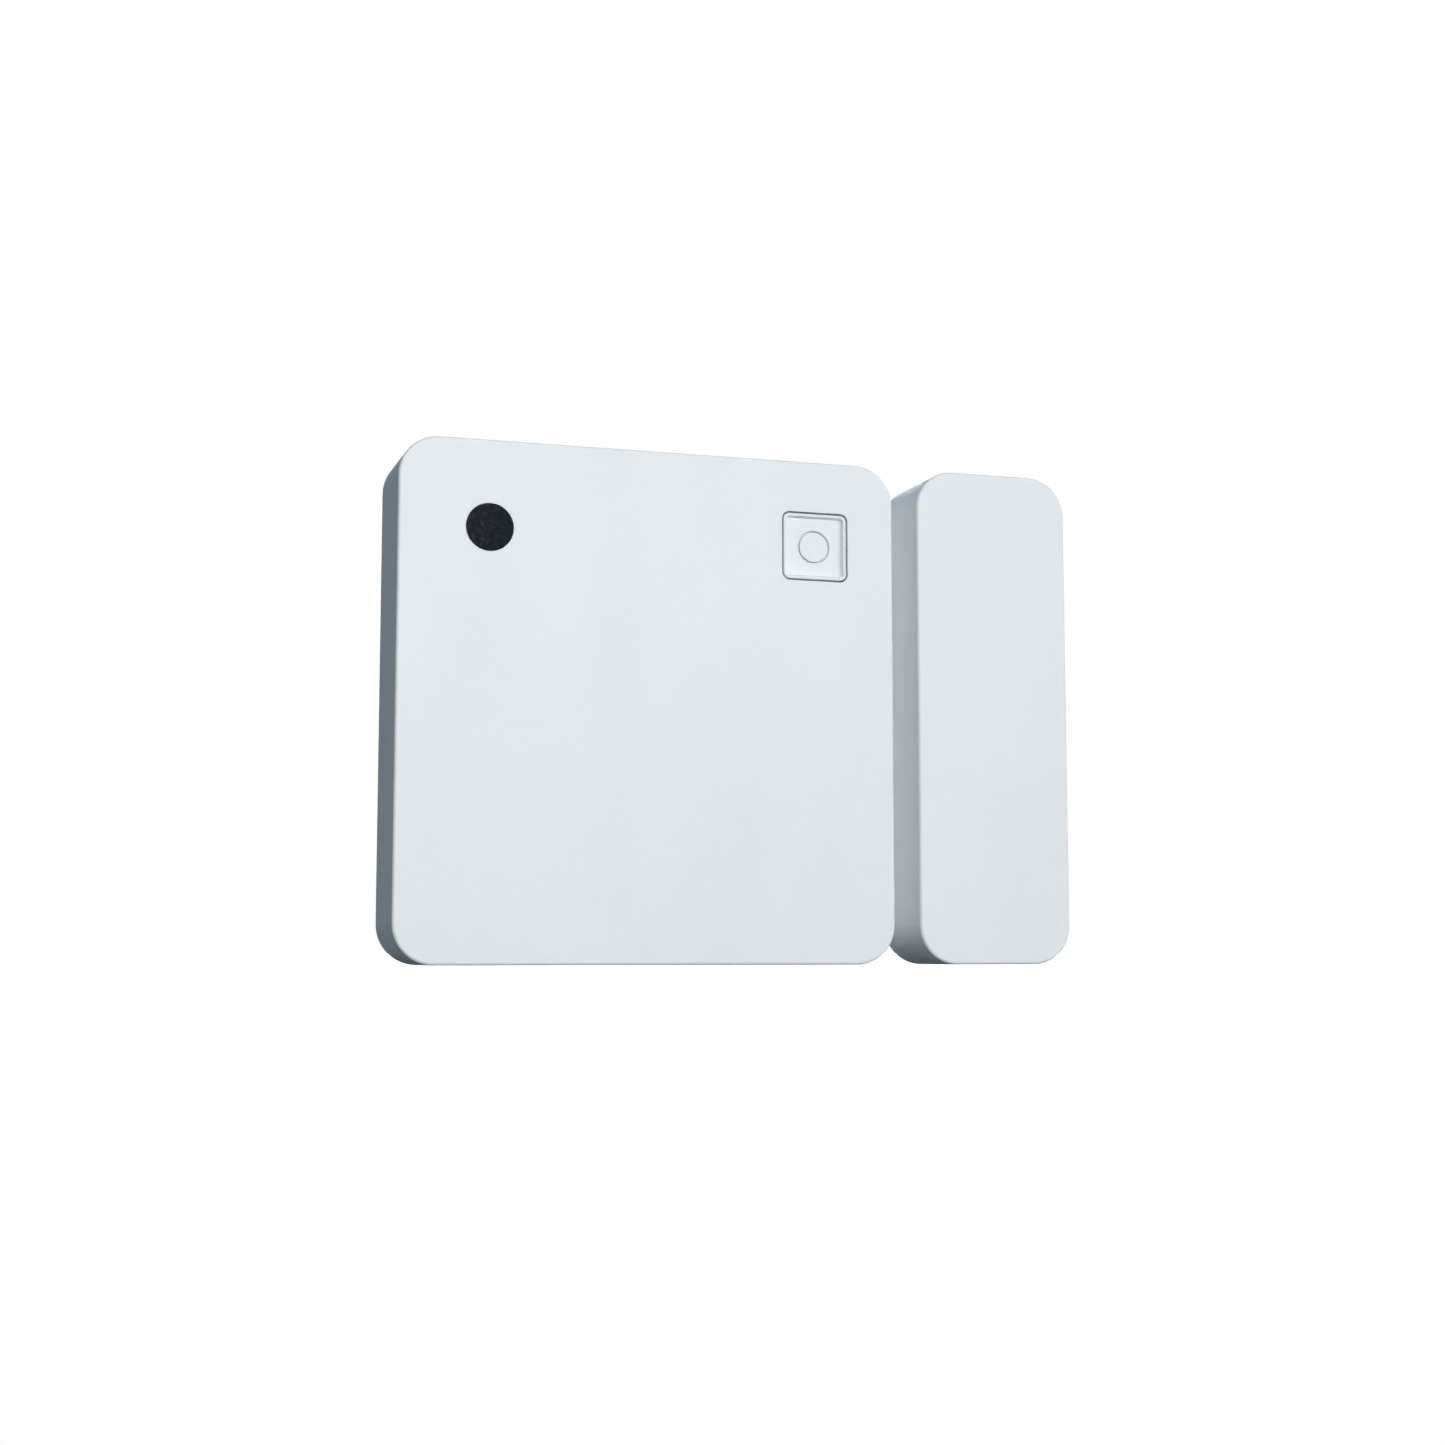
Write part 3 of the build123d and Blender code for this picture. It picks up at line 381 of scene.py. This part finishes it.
class Form:
    """A mesh under construction."""

    def __init__(self):
        self.bm = bmesh.new()

    def block(self, x, z, low, width, tall, thick, soft=0.0, steps=2):
        """A box standing out from height low, with edges rounded by soft."""
        made = bmesh.ops.create_cube(self.bm, size=1.0)["verts"]
        bmesh.ops.scale(self.bm, vec=(width * MM, thick * MM, tall * MM), verts=made)
        bmesh.ops.translate(self.bm, vec=at(x, low + thick / 2, z), verts=made)
        if soft:
            edges = list({e for v in made for e in v.link_edges})
            bmesh.ops.bevel(
                self.bm, geom=edges, offset=soft * MM, segments=steps, profile=0.5, affect="EDGES"
            )

    def turned(self, x, z, profile, around=40):
        """A solid of revolution about an axis along Y; profile is (radius, height) pairs."""
        rings = []
        for radius, height in profile:
            if radius < 1e-6:
                rings.append([self.bm.verts.new(at(x, height, z))])
                continue
            angles = [2 * math.pi * i / around for i in range(around)]
            spots = [(x + radius * math.cos(a), z + radius * math.sin(a)) for a in angles]
            rings.append([self.bm.verts.new(at(px, height, pz)) for px, pz in spots])
        for first, second in zip(rings, rings[1:]):
            for i in range(around):
                j = (i + 1) % around
                corners = [first[i % len(first)], first[j % len(first)]]
                corners += [second[j % len(second)], second[i % len(second)]]
                unique = list(dict.fromkeys(corners))
                if len(unique) > 2:
                    self.bm.faces.new(unique)

    def washer(self, x, z, inner, outer, low, high, around=48):
        """A flat ring between two heights."""
        profile = [(inner, low), (outer, low), (outer, high), (inner, high), (inner, low)]
        self.turned(x, z, profile, around)

    def strip(self, points, width, low, thick, closed=False):
        """A flat strip of one width along (x, z) points, with mitred corners."""
        flat = [Vector(p) for p in points]
        count = len(flat)
        sides = []
        for i, here in enumerate(flat):
            before = flat[i - 1] if i or closed else None
            after = flat[(i + 1) % count] if i < count - 1 or closed else None
            arms = [(b - a).normalized() for a, b in ((before, here), (here, after)) if a and b]
            normals = [Vector((-d.y, d.x)) for d in arms]
            mitre = sum(normals, Vector((0, 0))).normalized()
            reach = width / 2 / max(mitre.dot(normals[0]), SHARPEST_MITRE)
            sides.append((here + mitre * reach, here - mitre * reach))
        rows = []
        for left, right in sides:
            corners = ((left, low + thick), (right, low + thick), (right, low), (left, low))
            rows.append([self.bm.verts.new(at(p.x, height, p.y)) for p, height in corners])
        pairs = list(zip(rows, rows[1:])) + ([(rows[-1], rows[0])] if closed else [])
        for first, second in pairs:
            for i in range(4):
                j = (i + 1) % 4
                self.bm.faces.new((first[i], first[j], second[j], second[i]))
        if not closed:
            self.bm.faces.new(rows[0])
            self.bm.faces.new(list(reversed(rows[-1])))

    def slab(self, outlines):
        """A closed solid through equal-length outlines, each a list of points in metres."""
        rows = [[self.bm.verts.new(p) for p in outline] for outline in outlines]
        for first, second in zip(rows, rows[1:]):
            for i in range(len(first)):
                j = (i + 1) % len(first)
                self.bm.faces.new((first[i], first[j], second[j], second[i]))
        self.bm.faces.new(rows[0])
        self.bm.faces.new(list(reversed(rows[-1])))

    def finish(self, name, body, slot, material, replaces=(), smooth=35):
        """Turns the mesh into a piece that rides on body and takes the place of CAD nodes."""
        bmesh.ops.remove_doubles(self.bm, verts=self.bm.verts, dist=0.0001 * MM)
        bmesh.ops.recalc_face_normals(self.bm, faces=self.bm.faces)
        mesh = bpy.data.meshes.new(name)
        self.bm.to_mesh(mesh)
        self.bm.free()
        mesh.materials.append(material)
        piece = bpy.data.objects.new(name, mesh)
        scene.collection.objects.link(piece)
        mesh.shade_smooth()
        mesh.set_sharp_from_angle(angle=math.radians(smooth))
        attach(piece, body)
        if replaces:
            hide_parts(*replaces)
        return piece


def rounded(x, z, width, tall, radius, height, inset=0.0):
    """An outline in metres of a rectangle with round corners, at one height."""
    half_x, half_z = width / 2 - inset, tall / 2 - inset
    corner = max(radius - inset, LEAST_RADIUS)
    points = []
    for sign_x, sign_z, start in ((1, 1, 0), (-1, 1, 90), (-1, -1, 180), (1, -1, 270)):
        middle_x, middle_z = x + sign_x * (half_x - corner), z + sign_z * (half_z - corner)
        for i in range(ARC_STEPS + 1):
            a = math.radians(start + 90 * i / ARC_STEPS)
            points.append((middle_x + corner * math.cos(a), middle_z + corner * math.sin(a)))
    ring = []
    for here, there in zip(points, points[1:] + points[:1]):
        ring.append(here)
        if math.dist(here, there) > LEAST_SIDE:
            for k in range(1, SIDE_STEPS):
                ring.append(tuple(a + (b - a) * k / SIDE_STEPS for a, b in zip(here, there)))
    return [at(px, height, pz) for px, pz in ring]


def frame_points(x, z, width, tall, grow):
    """The corners of a rectangle made larger all round."""
    half_x, half_z = width / 2 + grow, tall / 2 + grow
    return [
        (x - half_x, z - half_z), (x + half_x, z - half_z),
        (x + half_x, z + half_z), (x - half_x, z + half_z),
    ]


def plus(form, x, z, reach, width, low, thick):
    """A plus sign of three strips that meet without overlapping."""
    form.strip([(x - reach, z), (x + reach, z)], width, low, thick)
    for way in ENDS:
        form.strip([(x, z + way * width / 2), (x, z + way * reach)], width, low, thick)


def boxes(node):
    """The box of each separate solid in a CAD node, as (x, z, width, tall, low, high)."""
    bm = bmesh.new()
    bm.from_mesh(nodes[node].data)
    bmesh.ops.remove_doubles(bm, verts=bm.verts, dist=0.001 * MM)
    left = set(bm.verts)
    found = []
    while left:
        todo = [left.pop()]
        points = []
        while todo:
            vert = todo.pop()
            points.append(vert.co / MM)
            for edge in vert.link_edges:
                other = edge.other_vert(vert)
                if other in left:
                    left.remove(other)
                    todo.append(other)
        low = [min(p[i] for p in points) for i in range(3)]
        high = [max(p[i] for p in points) for i in range(3)]
        x, z = (low[0] + high[0]) / 2, (low[2] + high[2]) / 2
        found.append((x, z, high[0] - low[0], high[2] - low[2], -high[1], -low[1]))
    bm.free()
    return sorted(found, key=lambda b: (round(b[0], 3), round(b[1], 3)))


def only(node):
    """The box of a CAD node that is one solid, as boxes gives it."""
    low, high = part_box(node)
    x, z = (low[0] + high[0]) / 2 / MM, (low[2] + high[2]) / 2 / MM
    return x, z, (high[0] - low[0]) / MM, (high[2] - low[2]) / MM, -high[1] / MM, -low[1] / MM


board_top = only("circuit_board")[5]
ROOT = "sensor_base"


def board_piece(name, slot, material, blocks, replaces=()):
    """A piece on the circuit board made of boxes, each given as Form.block takes it."""
    form = Form()
    for block in blocks:
        form.block(*block)
    form.finish(name, ROOT, slot, material, replaces)


# ------------------------------------------------------------------ chips on the circuit board
FILLET_OUT = 0.09  # middle of a solder fillet beyond the end of its chip
FILLET_DEEP = 0.24
FILLET_HIGH = 0.2


def ended_chips(name, node, slot, look, end=0.3, soft=0.05):
    """Chips with a metal cap on each end, and a solder fillet from each cap to the board."""
    middles, caps, fillets = [], [], []
    for x, z, width, tall, low, high in boxes(node):
        thick = high - low
        length = tall - 2 * end + 0.02
        middles.append((x, z, low + 0.02, width - 0.03, length, thick - 0.03, soft))
        for way in ENDS:
            foot = z + way * (tall / 2 + FILLET_OUT)
            caps.append((x, z + way * (tall - end) / 2, low, width, end, thick, soft))
            fillets.append((x, foot, low, width + 0.1, FILLET_DEEP, FILLET_HIGH, 0.09, 3))
    board_piece(name, slot, look, middles, (node,))
    board_piece(name + "_ends", "solder", end_tin, caps)
    board_piece(name + "_solder", "solder", solder_bright, fillets)


ended_chips("capacitor_chips", "capacitors", "ceramic_tan", ceramic_tan)
ended_chips("resistor_chips", "resistors", "resistor_black", resistor_glaze, end=0.24, soft=0.03)

# the moulded tantalum capacitor, with its polarity stripe
TANTALUM_GAP = 0.08  # under the moulding
STRIPE_DEEP = 0.02
x, z, width, tall, low, high = only("reservoir_capacitor")
moulding = (x, z, low + TANTALUM_GAP, width, tall, high - low - TANTALUM_GAP, 0.14, 3)
board_piece(
    "tantalum_capacitor", "tantalum_amber", tantalum, [moulding], ("reservoir_capacitor",)
)
form = Form()
stripe = (x, z + tall / 2 - 0.55, width - 0.32, 0.5, 0.08)
form.slab([rounded(*stripe, high - STRIPE_DEEP), rounded(*stripe, high)])
form.finish("tantalum_stripe", ROOT, "tantalum_amber", stripe_brown)
tabs = [(x, z + way * (tall / 2 + 0.05), low, 1.5, 0.1, 0.9, 0.03) for way in ENDS]
feet = [(x, z + way * (tall / 2 + 0.12), low, 1.7, 0.34, 0.14, 0.06, 3) for way in ENDS]
board_piece("tantalum_terminals", "solder", end_tin, tabs + feet)

# the crystal: a ceramic tray under a seam-welded lid
TRAY_HIGH = 0.4
x, z, width, tall, low, high = only("crystal")
tray = (x, z, low, width, tall, TRAY_HIGH, 0.04)
board_piece("crystal_package", "ceramic_tan", ceramic_white, [tray], ("crystal",))
lid = (x, z, low + TRAY_HIGH, width - 0.16, tall - 0.16, high - low - TRAY_HIGH, 0.07, 3)
raised = (x, z, high - 0.002, width - 0.5, tall - 0.5, 0.012, 0.005)
board_piece("crystal_lid", "crystal_can", tin, [lid, raised])
feet = [
    (x + over_x * (width / 2 - 0.2), z + over_z * (tall / 2 - 0.3), low, 0.44, 0.64, 0.12, 0.02)
    for over_x, over_z in CORNERS
]
board_piece("crystal_terminals", "trace_gold", gold, feet)

# the status light: phosphor resin on a ceramic carrier
CARRIER_HIGH = 0.22
x, z, width, tall, low, high = only("status_led")
carrier = (x, z, low, width, tall, CARRIER_HIGH, 0.03)
board_piece("led_carrier", "led_white", ceramic_white, [carrier], ("status_led",))
resin_high = high - low - CARRIER_HIGH
resin = (x, z, low + CARRIER_HIGH, width - 0.06, tall - 0.6, resin_high, 0.1, 4)
board_piece("led_dome", "led_white", led_resin, [resin])
feet = [(x, z + way * (tall / 2 - 0.12), low, width + 0.04, 0.26, 0.235, 0.02) for way in ENDS]
board_piece("led_ends", "trace_gold", gold, feet)

# the light sensor, with a dark window and three terminals on each side
WINDOW_DEEP = 0.06
TERMINAL_PITCH = 0.6
x, z, width, tall, low, high = only("light_sensor")
package = (x, z, low, width, tall, high - low - 0.02, 0.05)
board_piece("sensor_package", "sensor_dark", epoxy, [package], ("light_sensor",))
window = (x, z, high - WINDOW_DEEP, width - 0.5, tall - 0.6, WINDOW_DEEP, 0.02, 3)
board_piece("sensor_window", "sensor_dark", sensor_resin, [window])
feet = [
    (x + way * (width / 2 - 0.06), z + row * TERMINAL_PITCH, low, 0.18, 0.3, 0.12, 0.03)
    for row in (-1, 0, 1) for way in ENDS
]
board_piece("sensor_terminals", "trace_gold", gold, feet)

# ------------------------------------------------------------------ tactile switch
RIVET = [(0, 0), (0.28, 0), (0.26, 0.08), (0, 0.11)]  # radius, height above the cover plate
RIVET_INSET = 0.55
x, z, width, tall, low, high = only("switch_body")
plate_top = only("switch_plate")[5]
form = Form()
for over_x, over_z in CORNERS:
    place_x = x + over_x * (width / 2 - RIVET_INSET)
    place_z = z + over_z * (tall / 2 - RIVET_INSET)
    form.turned(place_x, place_z, [(r, plate_top + h) for r, h in RIVET], 20)
form.finish("switch_rivets", ROOT, "switch_black", switch_black)
feet = [
    (x, z, low, width + 0.3, tall + 0.35, 0.1, 0.045, 3)
    for x, z, width, tall, low, _ in boxes("switch_terminals")
]
board_piece("switch_solder", "solder", solder_bright, feet)

# the snap dome under the plunger, with a dimple at its crown
DOME_SKIN = 0.07
DOME_SEAT = 0.12  # width of the ring that the dome stands on
DOME_STEPS = 14
DIMPLE = [(0.22, 0.01), (0.14, 0.035), (0, 0.04)]  # radius, depth below the crown
x, z, width, tall, low, high = only("switch_dome")
crown, reach = high - low, width / 2
turns = [math.pi / 2 * i / DOME_STEPS for i in range(DOME_STEPS - 1)]
arch = [(math.cos(a), math.sin(a) ** 0.8) for a in turns]
outside = [(reach * r, low + crown * h) for r, h in arch]
inside = [((reach - DOME_SEAT) * r, low + (crown - DOME_SKIN) * h) for r, h in arch]
outside += [(r, high - deep) for r, deep in DIMPLE]
inside += [(r, high - deep - DOME_SKIN) for r, deep in DIMPLE]
form = Form()
form.turned(x, z, [*outside, *reversed(inside), outside[0]], 56)
dome = form.finish("snap_dome", ROOT, "switch_steel", switch_steel, ("switch_dome",))
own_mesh(dome)

# ------------------------------------------------------------------ radio module
EDGE_PADS = 9  # along each long edge of the module
EDGE_PITCH = 1.27
EDGE_START = 1.45
EDGE_WIDTH = 0.72
EDGE_REACH = 0.84  # from the edge in over the module's face
PLATING = 0.02
x, z, width, tall, low, high = only("radio_board")
pads, joints = Form(), Form()
for column in range(EDGE_PADS):
    place_x = x - width / 2 + EDGE_START + column * EDGE_PITCH
    sides = (place_x - EDGE_WIDTH / 2, place_x + EDGE_WIDTH / 2)
    for way in ENDS:
        edge = z + way * tall / 2
        inner, outer, top = edge - way * EDGE_REACH, edge + way * PLATING, high + PLATING
        bent = [(high, inner), (top, inner), (top, outer), (low, outer), (low, edge), (high, edge)]
        pads.slab([[at(side, *corner) for corner in bent] for side in sides])
        joints.block(place_x, edge + way * 0.14, low, 0.8, 0.36, 0.3, 0.13, 4)
pads.finish("module_pads", ROOT, "trace_gold", gold)
joints.finish("module_solder", ROOT, "solder", solder_bright)

VENT_PITCH = 1.1
VENT_COLUMNS, VENT_ROWS = 6, 4
x, z, width, tall, low, high = only("radio_shield")
form = Form()
form.strip(frame_points(x, z, width, tall, 0.12), 0.2, low, 0.3, closed=True)
form.finish("shield_fence", ROOT, "shield_tin", tin)
# dark discs laid on the shield's lid where its vent holes are: painted shade standing in for the
# dark inside of each hole
vent_shade_disc = [(0, high), (0.2, high), (0.2, high + 0.004), (0, high + 0.004)]
form = Form()
for column in range(VENT_COLUMNS):
    for row in range(VENT_ROWS):
        over_x, over_z = column - (VENT_COLUMNS - 1) / 2, row - (VENT_ROWS - 1) / 2
        form.turned(x + over_x * VENT_PITCH, z + over_z * VENT_PITCH, vent_shade_disc, 20)
form.finish("shield_vent_shade", ROOT, "chip_black", epoxy)

# ------------------------------------------------------------------ reed switch joints
WIRE = 0.24  # radius of the solder where it meets the reed's lead
FOOT = 0.03
form = Form()
for x, z, width, tall, low, high in boxes("reed_solder"):
    radius = width / 2
    profile = [(0, low), (radius, low), (radius * 0.97, low + FOOT)]
    for t in (0.2, 0.4, 0.6, 0.8, 1.0):
        profile.append((WIRE + (radius - WIRE) * (1 - t) ** 2.2, low + FOOT + (high - low) * t))
    form.turned(x, z, [*profile, (0, high + FOOT)], 32)
form.finish("reed_solder_joints", ROOT, "solder", solder_bright, ("reed_solder",))

# ------------------------------------------------------------------ printed circuit
TRACK, TRACK_HIGH = 0.28, 0.02
TRACKS = [
    [(8.9, 13.05), (6.2, 13.05)],
    [(8.9, 10.05), (7.4, 10.05)],
    [(6.6, 7.7), (6.6, 8.6)],
    [(9.6, 5.2), (9.6, 6.0), (8.2, 7.4), (6.9, 7.4)],
    [(13.4, 3.4), (12.5, 4.3), (12.5, 6.4), (11.4, 7.5), (9.2, 7.5), (8.4, 8.3)],
    [(13.4, -10.2), (12.3, -9.1), (11.7, -8.5), (10.4, -8.5)],
    [(9.0, -8.5), (9.0, -7.4), (10.0, -7.1)],
    [(10.0, -5.7), (10.0, -4.7)],
    [(9.6, -1.4), (9.6, -0.9), (9.0, -0.3)],
    [(10.4, 1.1), (10.4, 2.0)],
    [(9.0, 1.1), (9.0, 2.0)],
    [(11.8, -10.7), (11.8, -10.2), (10.4, -9.9)],
    [(11.8, -12.2), (11.8, -13.0), (9.6, -15.2), (3.4, -15.2)],
    [(4.6, 4.6), (5.8, 5.8), (6.6, 6.3)],
    [(-10.5, 12.3), (-10.5, 13.4), (-9.3, 14.6), (-7.0, 14.6), (-5.9, 15.0)],
    [(-10.5, 10.8), (-10.5, 10.2), (-9.2, 9.4)],
    [(-9.2, 7.9), (-8.3, 7.2), (-5.8, 7.4), (-5.0, 8.0)],
    [(-11.9, 10.6), (-11.9, 9.6), (-12.8, 8.2)],
    [(-12.5, 12.2), (-13.6, 12.2), (-14.9, 10.9), (-14.9, 8.9), (-14.2, 8.8)],
    [(-14.2, 7.3), (-14.4, 6.2)],
    [(-12.8, 6.7), (-13.7, 5.2), (-14.2, 4.5)],
    [(14.6, 6.6), (14.6, 8.6), (15.1, 9.4), (15.1, 13.0), (14.4, 13.05)],
    [(14.6, 4.8), (15.1, 4.2), (15.1, 3.2)],
    [(-15.1, -3.2), (-15.1, -11.0), (-12.0, -15.0), (-3.4, -15.1)],
    [(14.9, -3.2), (14.9, -11.8)],
]
form = Form()
for points in TRACKS:
    form.strip(points, TRACK, board_top, TRACK_HIGH)
form.finish("board_tracks", ROOT, "board_green", track_green)

VIA_HIGH = 0.03
VIAS = [
    (3.4, -15.2), (-3.4, -15.1), (15.1, 3.2), (14.9, -3.2), (14.9, -11.8), (-15.1, -3.2),
    (8.2, -11.6), (12.2, -0.6), (12.0, 2.2), (-8.2, 10.4), (-8.0, 12.6), (-11.4, 14.9),
    (7.4, 14.6), (7.4, 10.05), (8.4, 8.3),
]
form = Form()
for x, z in VIAS:
    form.washer(x, z, 0.13, 0.3, board_top, board_top + VIA_HIGH, 24)
form.finish("board_vias", ROOT, "trace_gold", gold)

INK, INK_HIGH = 0.12, 0.028
CHIP_MARGIN = 0.22  # from a chip to the middle of its printed outline
SWITCH_MARGIN = 0.9
RING_MARGIN = 0.35
RING_ARCS = ((60, 205), (245, 390))  # in degrees
RING_STEPS = 60
BOARD_REACH = 14.9  # no ink is printed past this
form = Form()
for node in ("capacitors", "resistors", "light_sensor", "crystal", "reservoir_capacitor"):
    for x, z, width, tall, *_ in boxes(node):
        outline = frame_points(x, z, width, tall, CHIP_MARGIN)
        form.strip(outline, INK, board_top, INK_HIGH, closed=True)
outline = frame_points(*only("switch_body")[:4], SWITCH_MARGIN)
form.strip(outline, INK, board_top, INK_HIGH, closed=True)
x, z, width, *_ = only("cell_holder")
radius = width / 2 + RING_MARGIN
for start, stop in RING_ARCS:
    turns = [math.radians(start + (stop - start) * i / RING_STEPS) for i in range(RING_STEPS + 1)]
    arc = [(x + radius * math.cos(a), z + radius * math.sin(a)) for a in turns]
    arc = [p for p in arc if abs(p[0]) < BOARD_REACH and abs(p[1]) < BOARD_REACH]
    form.strip(arc, INK, board_top, INK_HIGH)
plus(form, 4.9, 6.4, 0.5, 0.18, board_top, INK_HIGH)
form.finish("board_ink", ROOT, "board_green", ink_white)

# ------------------------------------------------------------------ mark on the coin cell
form = Form()
plus(form, cell_x, cell_z, 2.2, 0.8, only("cell_can")[5] - 0.01, 0.016)
form.finish("cell_plus", "coin_cell", "cell_steel", cell_etch)

# ------------------------------------------------------------------ foam pads
FILM = 0.07
WAIST = 0.16  # how far the foam's sides draw in
RAGGED = 0.05
FOAM_STEPS = 9


def foam_pad(name, node, body, radius, seed):
    """A die-cut foam pad: waisted, slightly ragged sides between two adhesive films."""
    x, z, width, tall, low, high = only(node)
    shape = (x, z, width, tall, radius)
    draw = random.Random(seed)
    outlines = []
    ragged = [draw.uniform(0.0, RAGGED) for _ in rounded(*shape, low)]
    for i in range(FOAM_STEPS + 1):
        share = i / FOAM_STEPS
        bulge = math.sin(math.pi * share)
        height = low + FILM + (high - low - 2 * FILM) * share
        outline = rounded(*shape, height, 0.03 + WAIST * bulge)
        middle = at(x, height, z)
        worn = [0.3 * MM * r * bulge * draw.uniform(0.5, 1.5) for r in ragged]
        outlines.append([p + (middle - p).normalized() * w for p, w in zip(outline, worn)])
    form = Form()
    form.slab(outlines)
    pad = form.finish(name + "_foam", body, "foam_tape", foam_grey, (node,), smooth=60)
    form = Form()
    for start, stop in ((low, low + FILM), (high - FILM, high)):
        edges = ((start, 0.01), (start + 0.01, 0.0), (stop - 0.01, 0.0), (stop, 0.01))
        form.slab([rounded(*shape, height, inset) for height, inset in edges])
    form.finish(name + "_films", body, "foam_tape", film_pale)


foam_pad("sensor_pad", "sensor_pad", ROOT, 2.0, 11)
foam_pad("magnet_pad", "magnet_pad", "magnet_base", 1.0, 12)

# ------------------------------------------------------------------ moulding marks inside the covers
CEILING = 6.6  # inside of the covers' front walls
RAISED, SUNK = CEILING - 0.03, CEILING + 0.01
MARK = (0.78, 0.9, RAISED, SUNK)  # ring round an ejector pin's mark
PIN = [(0, CEILING - 0.01), (0.5, CEILING - 0.01), (0.5, SUNK), (0, SUNK)]
PINS = [(-13.6, -13.6), (13.4, -13.2), (13.6, 2.4), (-13.4, 6.2), (0.4, 13.6), (13.4, -5.6)]
form = Form()
for x, z in PINS:
    form.washer(x, z, *MARK)
    form.turned(x, z, PIN, 24)
form.finish("cover_ejector_marks", "front_cover", "case_white", case)
magnet_x = only("magnet_cover")[0]
form = Form()
for z in (-13.2, 0.0, 13.2):
    form.washer(magnet_x, z, *MARK)
form.finish("magnet_ejector_marks", "magnet_cover", "case_white", case)

# ------------------------------------------------------------------ camera
CAMERA_PLACE = (-40.316, -149.595, -16.48)
CAMERA_YAW, CAMERA_PITCH = math.radians(17.69), math.radians(5.923)
FOCAL_LENGTH = 54.6
camera_data = bpy.data.cameras.new("camera")
camera_data.lens = FOCAL_LENGTH
camera_data.sensor_width = 36.0
camera_data.clip_start = 0.005
camera = bpy.data.objects.new("camera", camera_data)
scene.collection.objects.link(camera)
camera.location = Vector(CAMERA_PLACE) * MM
ahead = math.cos(CAMERA_PITCH)
forward = Vector(
    (math.sin(CAMERA_YAW) * ahead, math.cos(CAMERA_YAW) * ahead, math.sin(CAMERA_PITCH))
)
camera.rotation_mode = "QUATERNION"
camera.rotation_quaternion = forward.to_track_quat("-Z", "Y")
scene.camera = camera

# ------------------------------------------------------------------ studio
AMBIENT = (0.67, 0.835, 1.0)
AMBIENT_STRENGTH = 0.29
scene.view_settings.view_transform = "Standard"
scene.view_settings.look = "None"
world = bpy.data.worlds.new("studio")
scene.world = world
world.use_nodes = True
studio = world.node_tree
studio.nodes.clear()


def background(colour, strength):
    """A world background of one colour."""
    node = studio.nodes.new("ShaderNodeBackground")
    node.inputs["Color"].default_value = (*colour, 1.0)
    node.inputs["Strength"].default_value = strength
    return node.outputs[0]


# the camera sees plain white behind the floor, and the object is lit by the ambient colour
world_out = studio.nodes.new("ShaderNodeOutputWorld")
world_mix = studio.nodes.new("ShaderNodeMixShader")
camera_ray = studio.nodes.new("ShaderNodeLightPath").outputs["Is Camera Ray"]
studio.links.new(camera_ray, world_mix.inputs[0])
studio.links.new(background(AMBIENT, AMBIENT_STRENGTH), world_mix.inputs[1])
studio.links.new(background((1.0, 1.0, 1.0), 1.0), world_mix.inputs[2])
studio.links.new(world_mix.outputs[0], world_out.inputs["Surface"])


def softbox(name, place, target, size, watts):
    """A rectangular area light, in millimetres, aimed at target."""
    data = bpy.data.lights.new(name, "AREA")
    data.shape = "RECTANGLE"
    data.size, data.size_y = size[0] * MM, size[1] * MM
    data.energy = watts
    light = bpy.data.objects.new(name, data)
    light.location = Vector(place) * MM
    aim = (Vector(target) - Vector(place)).normalized()
    light.rotation_mode = "QUATERNION"
    light.rotation_quaternion = aim.to_track_quat("-Z", "Y")
    scene.collection.objects.link(light)


softbox("key", (600, -660, 130), (5, -4, 0), (480, 260), 2.7)
softbox("front", (-18, -200, 40), (-6, -8, 4), (40, 40), 0.206)
softbox("back", (160, 330, 60), (5, 0, 0), (200, 200), 1.6)
overhead_data = bpy.data.lights.new("overhead", "SUN")
overhead_data.energy = 0.15
overhead_data.angle = math.radians(50)
overhead = bpy.data.objects.new("overhead", overhead_data)
overhead.rotation_euler = (math.radians(8), math.radians(10), 0)
scene.collection.objects.link(overhead)

# ------------------------------------------------------------------ floor
FLOOR_REACH = 8.0  # metres
FLOOR_GLOW = (1.0, 0.95, 0.92, 1.0)
floor_mesh = bpy.data.meshes.new("floor")
floor_corners = frame_points(0, 0, 0, 0, FLOOR_REACH)
floor_mesh.from_pydata([(x, y, cad_box[0].z) for x, y in floor_corners], [], [(0, 1, 2, 3)])
floor = bpy.data.objects.new("floor", floor_mesh)
scene.collection.objects.link(floor)

# the camera sees bright paper, and the object gets only a faint bounce from it
paper = Shader("floor_paper")
paper.set(
    Roughness=0.9, Specular_IOR_Level=0.0, Emission_Color=FLOOR_GLOW, Emission_Strength=0.87
)
paper.colour(paper.ramp(paper.noise(30.0), [(0.3, (0.90, 0.90, 0.90)), (0.7, (0.92, 0.92, 0.92))]))
flagged = paper.add("ShaderNodeBsdfDiffuse")
flagged.inputs["Color"].default_value = (0.10, 0.11, 0.12, 1.0)
lift = paper.add("ShaderNodeEmission")
lift.inputs["Color"].default_value = (0.80, 0.92, 1.0, 1.0)
lift.inputs["Strength"].default_value = 0.09
bounce = paper.add("ShaderNodeAddShader")
paper.link(flagged.outputs[0], bounce.inputs[0])
paper.link(lift.outputs[0], bounce.inputs[1])
paper_mix = paper.add("ShaderNodeMixShader")
paper.link(paper.add("ShaderNodeLightPath").outputs["Is Camera Ray"], paper_mix.inputs[0])
paper.link(bounce.outputs[0], paper_mix.inputs[1])
paper.link(paper.bsdf.outputs[0], paper_mix.inputs[2])
paper.link(paper_mix.outputs[0], paper.out.inputs["Surface"])
floor_mesh.materials.append(paper.material)
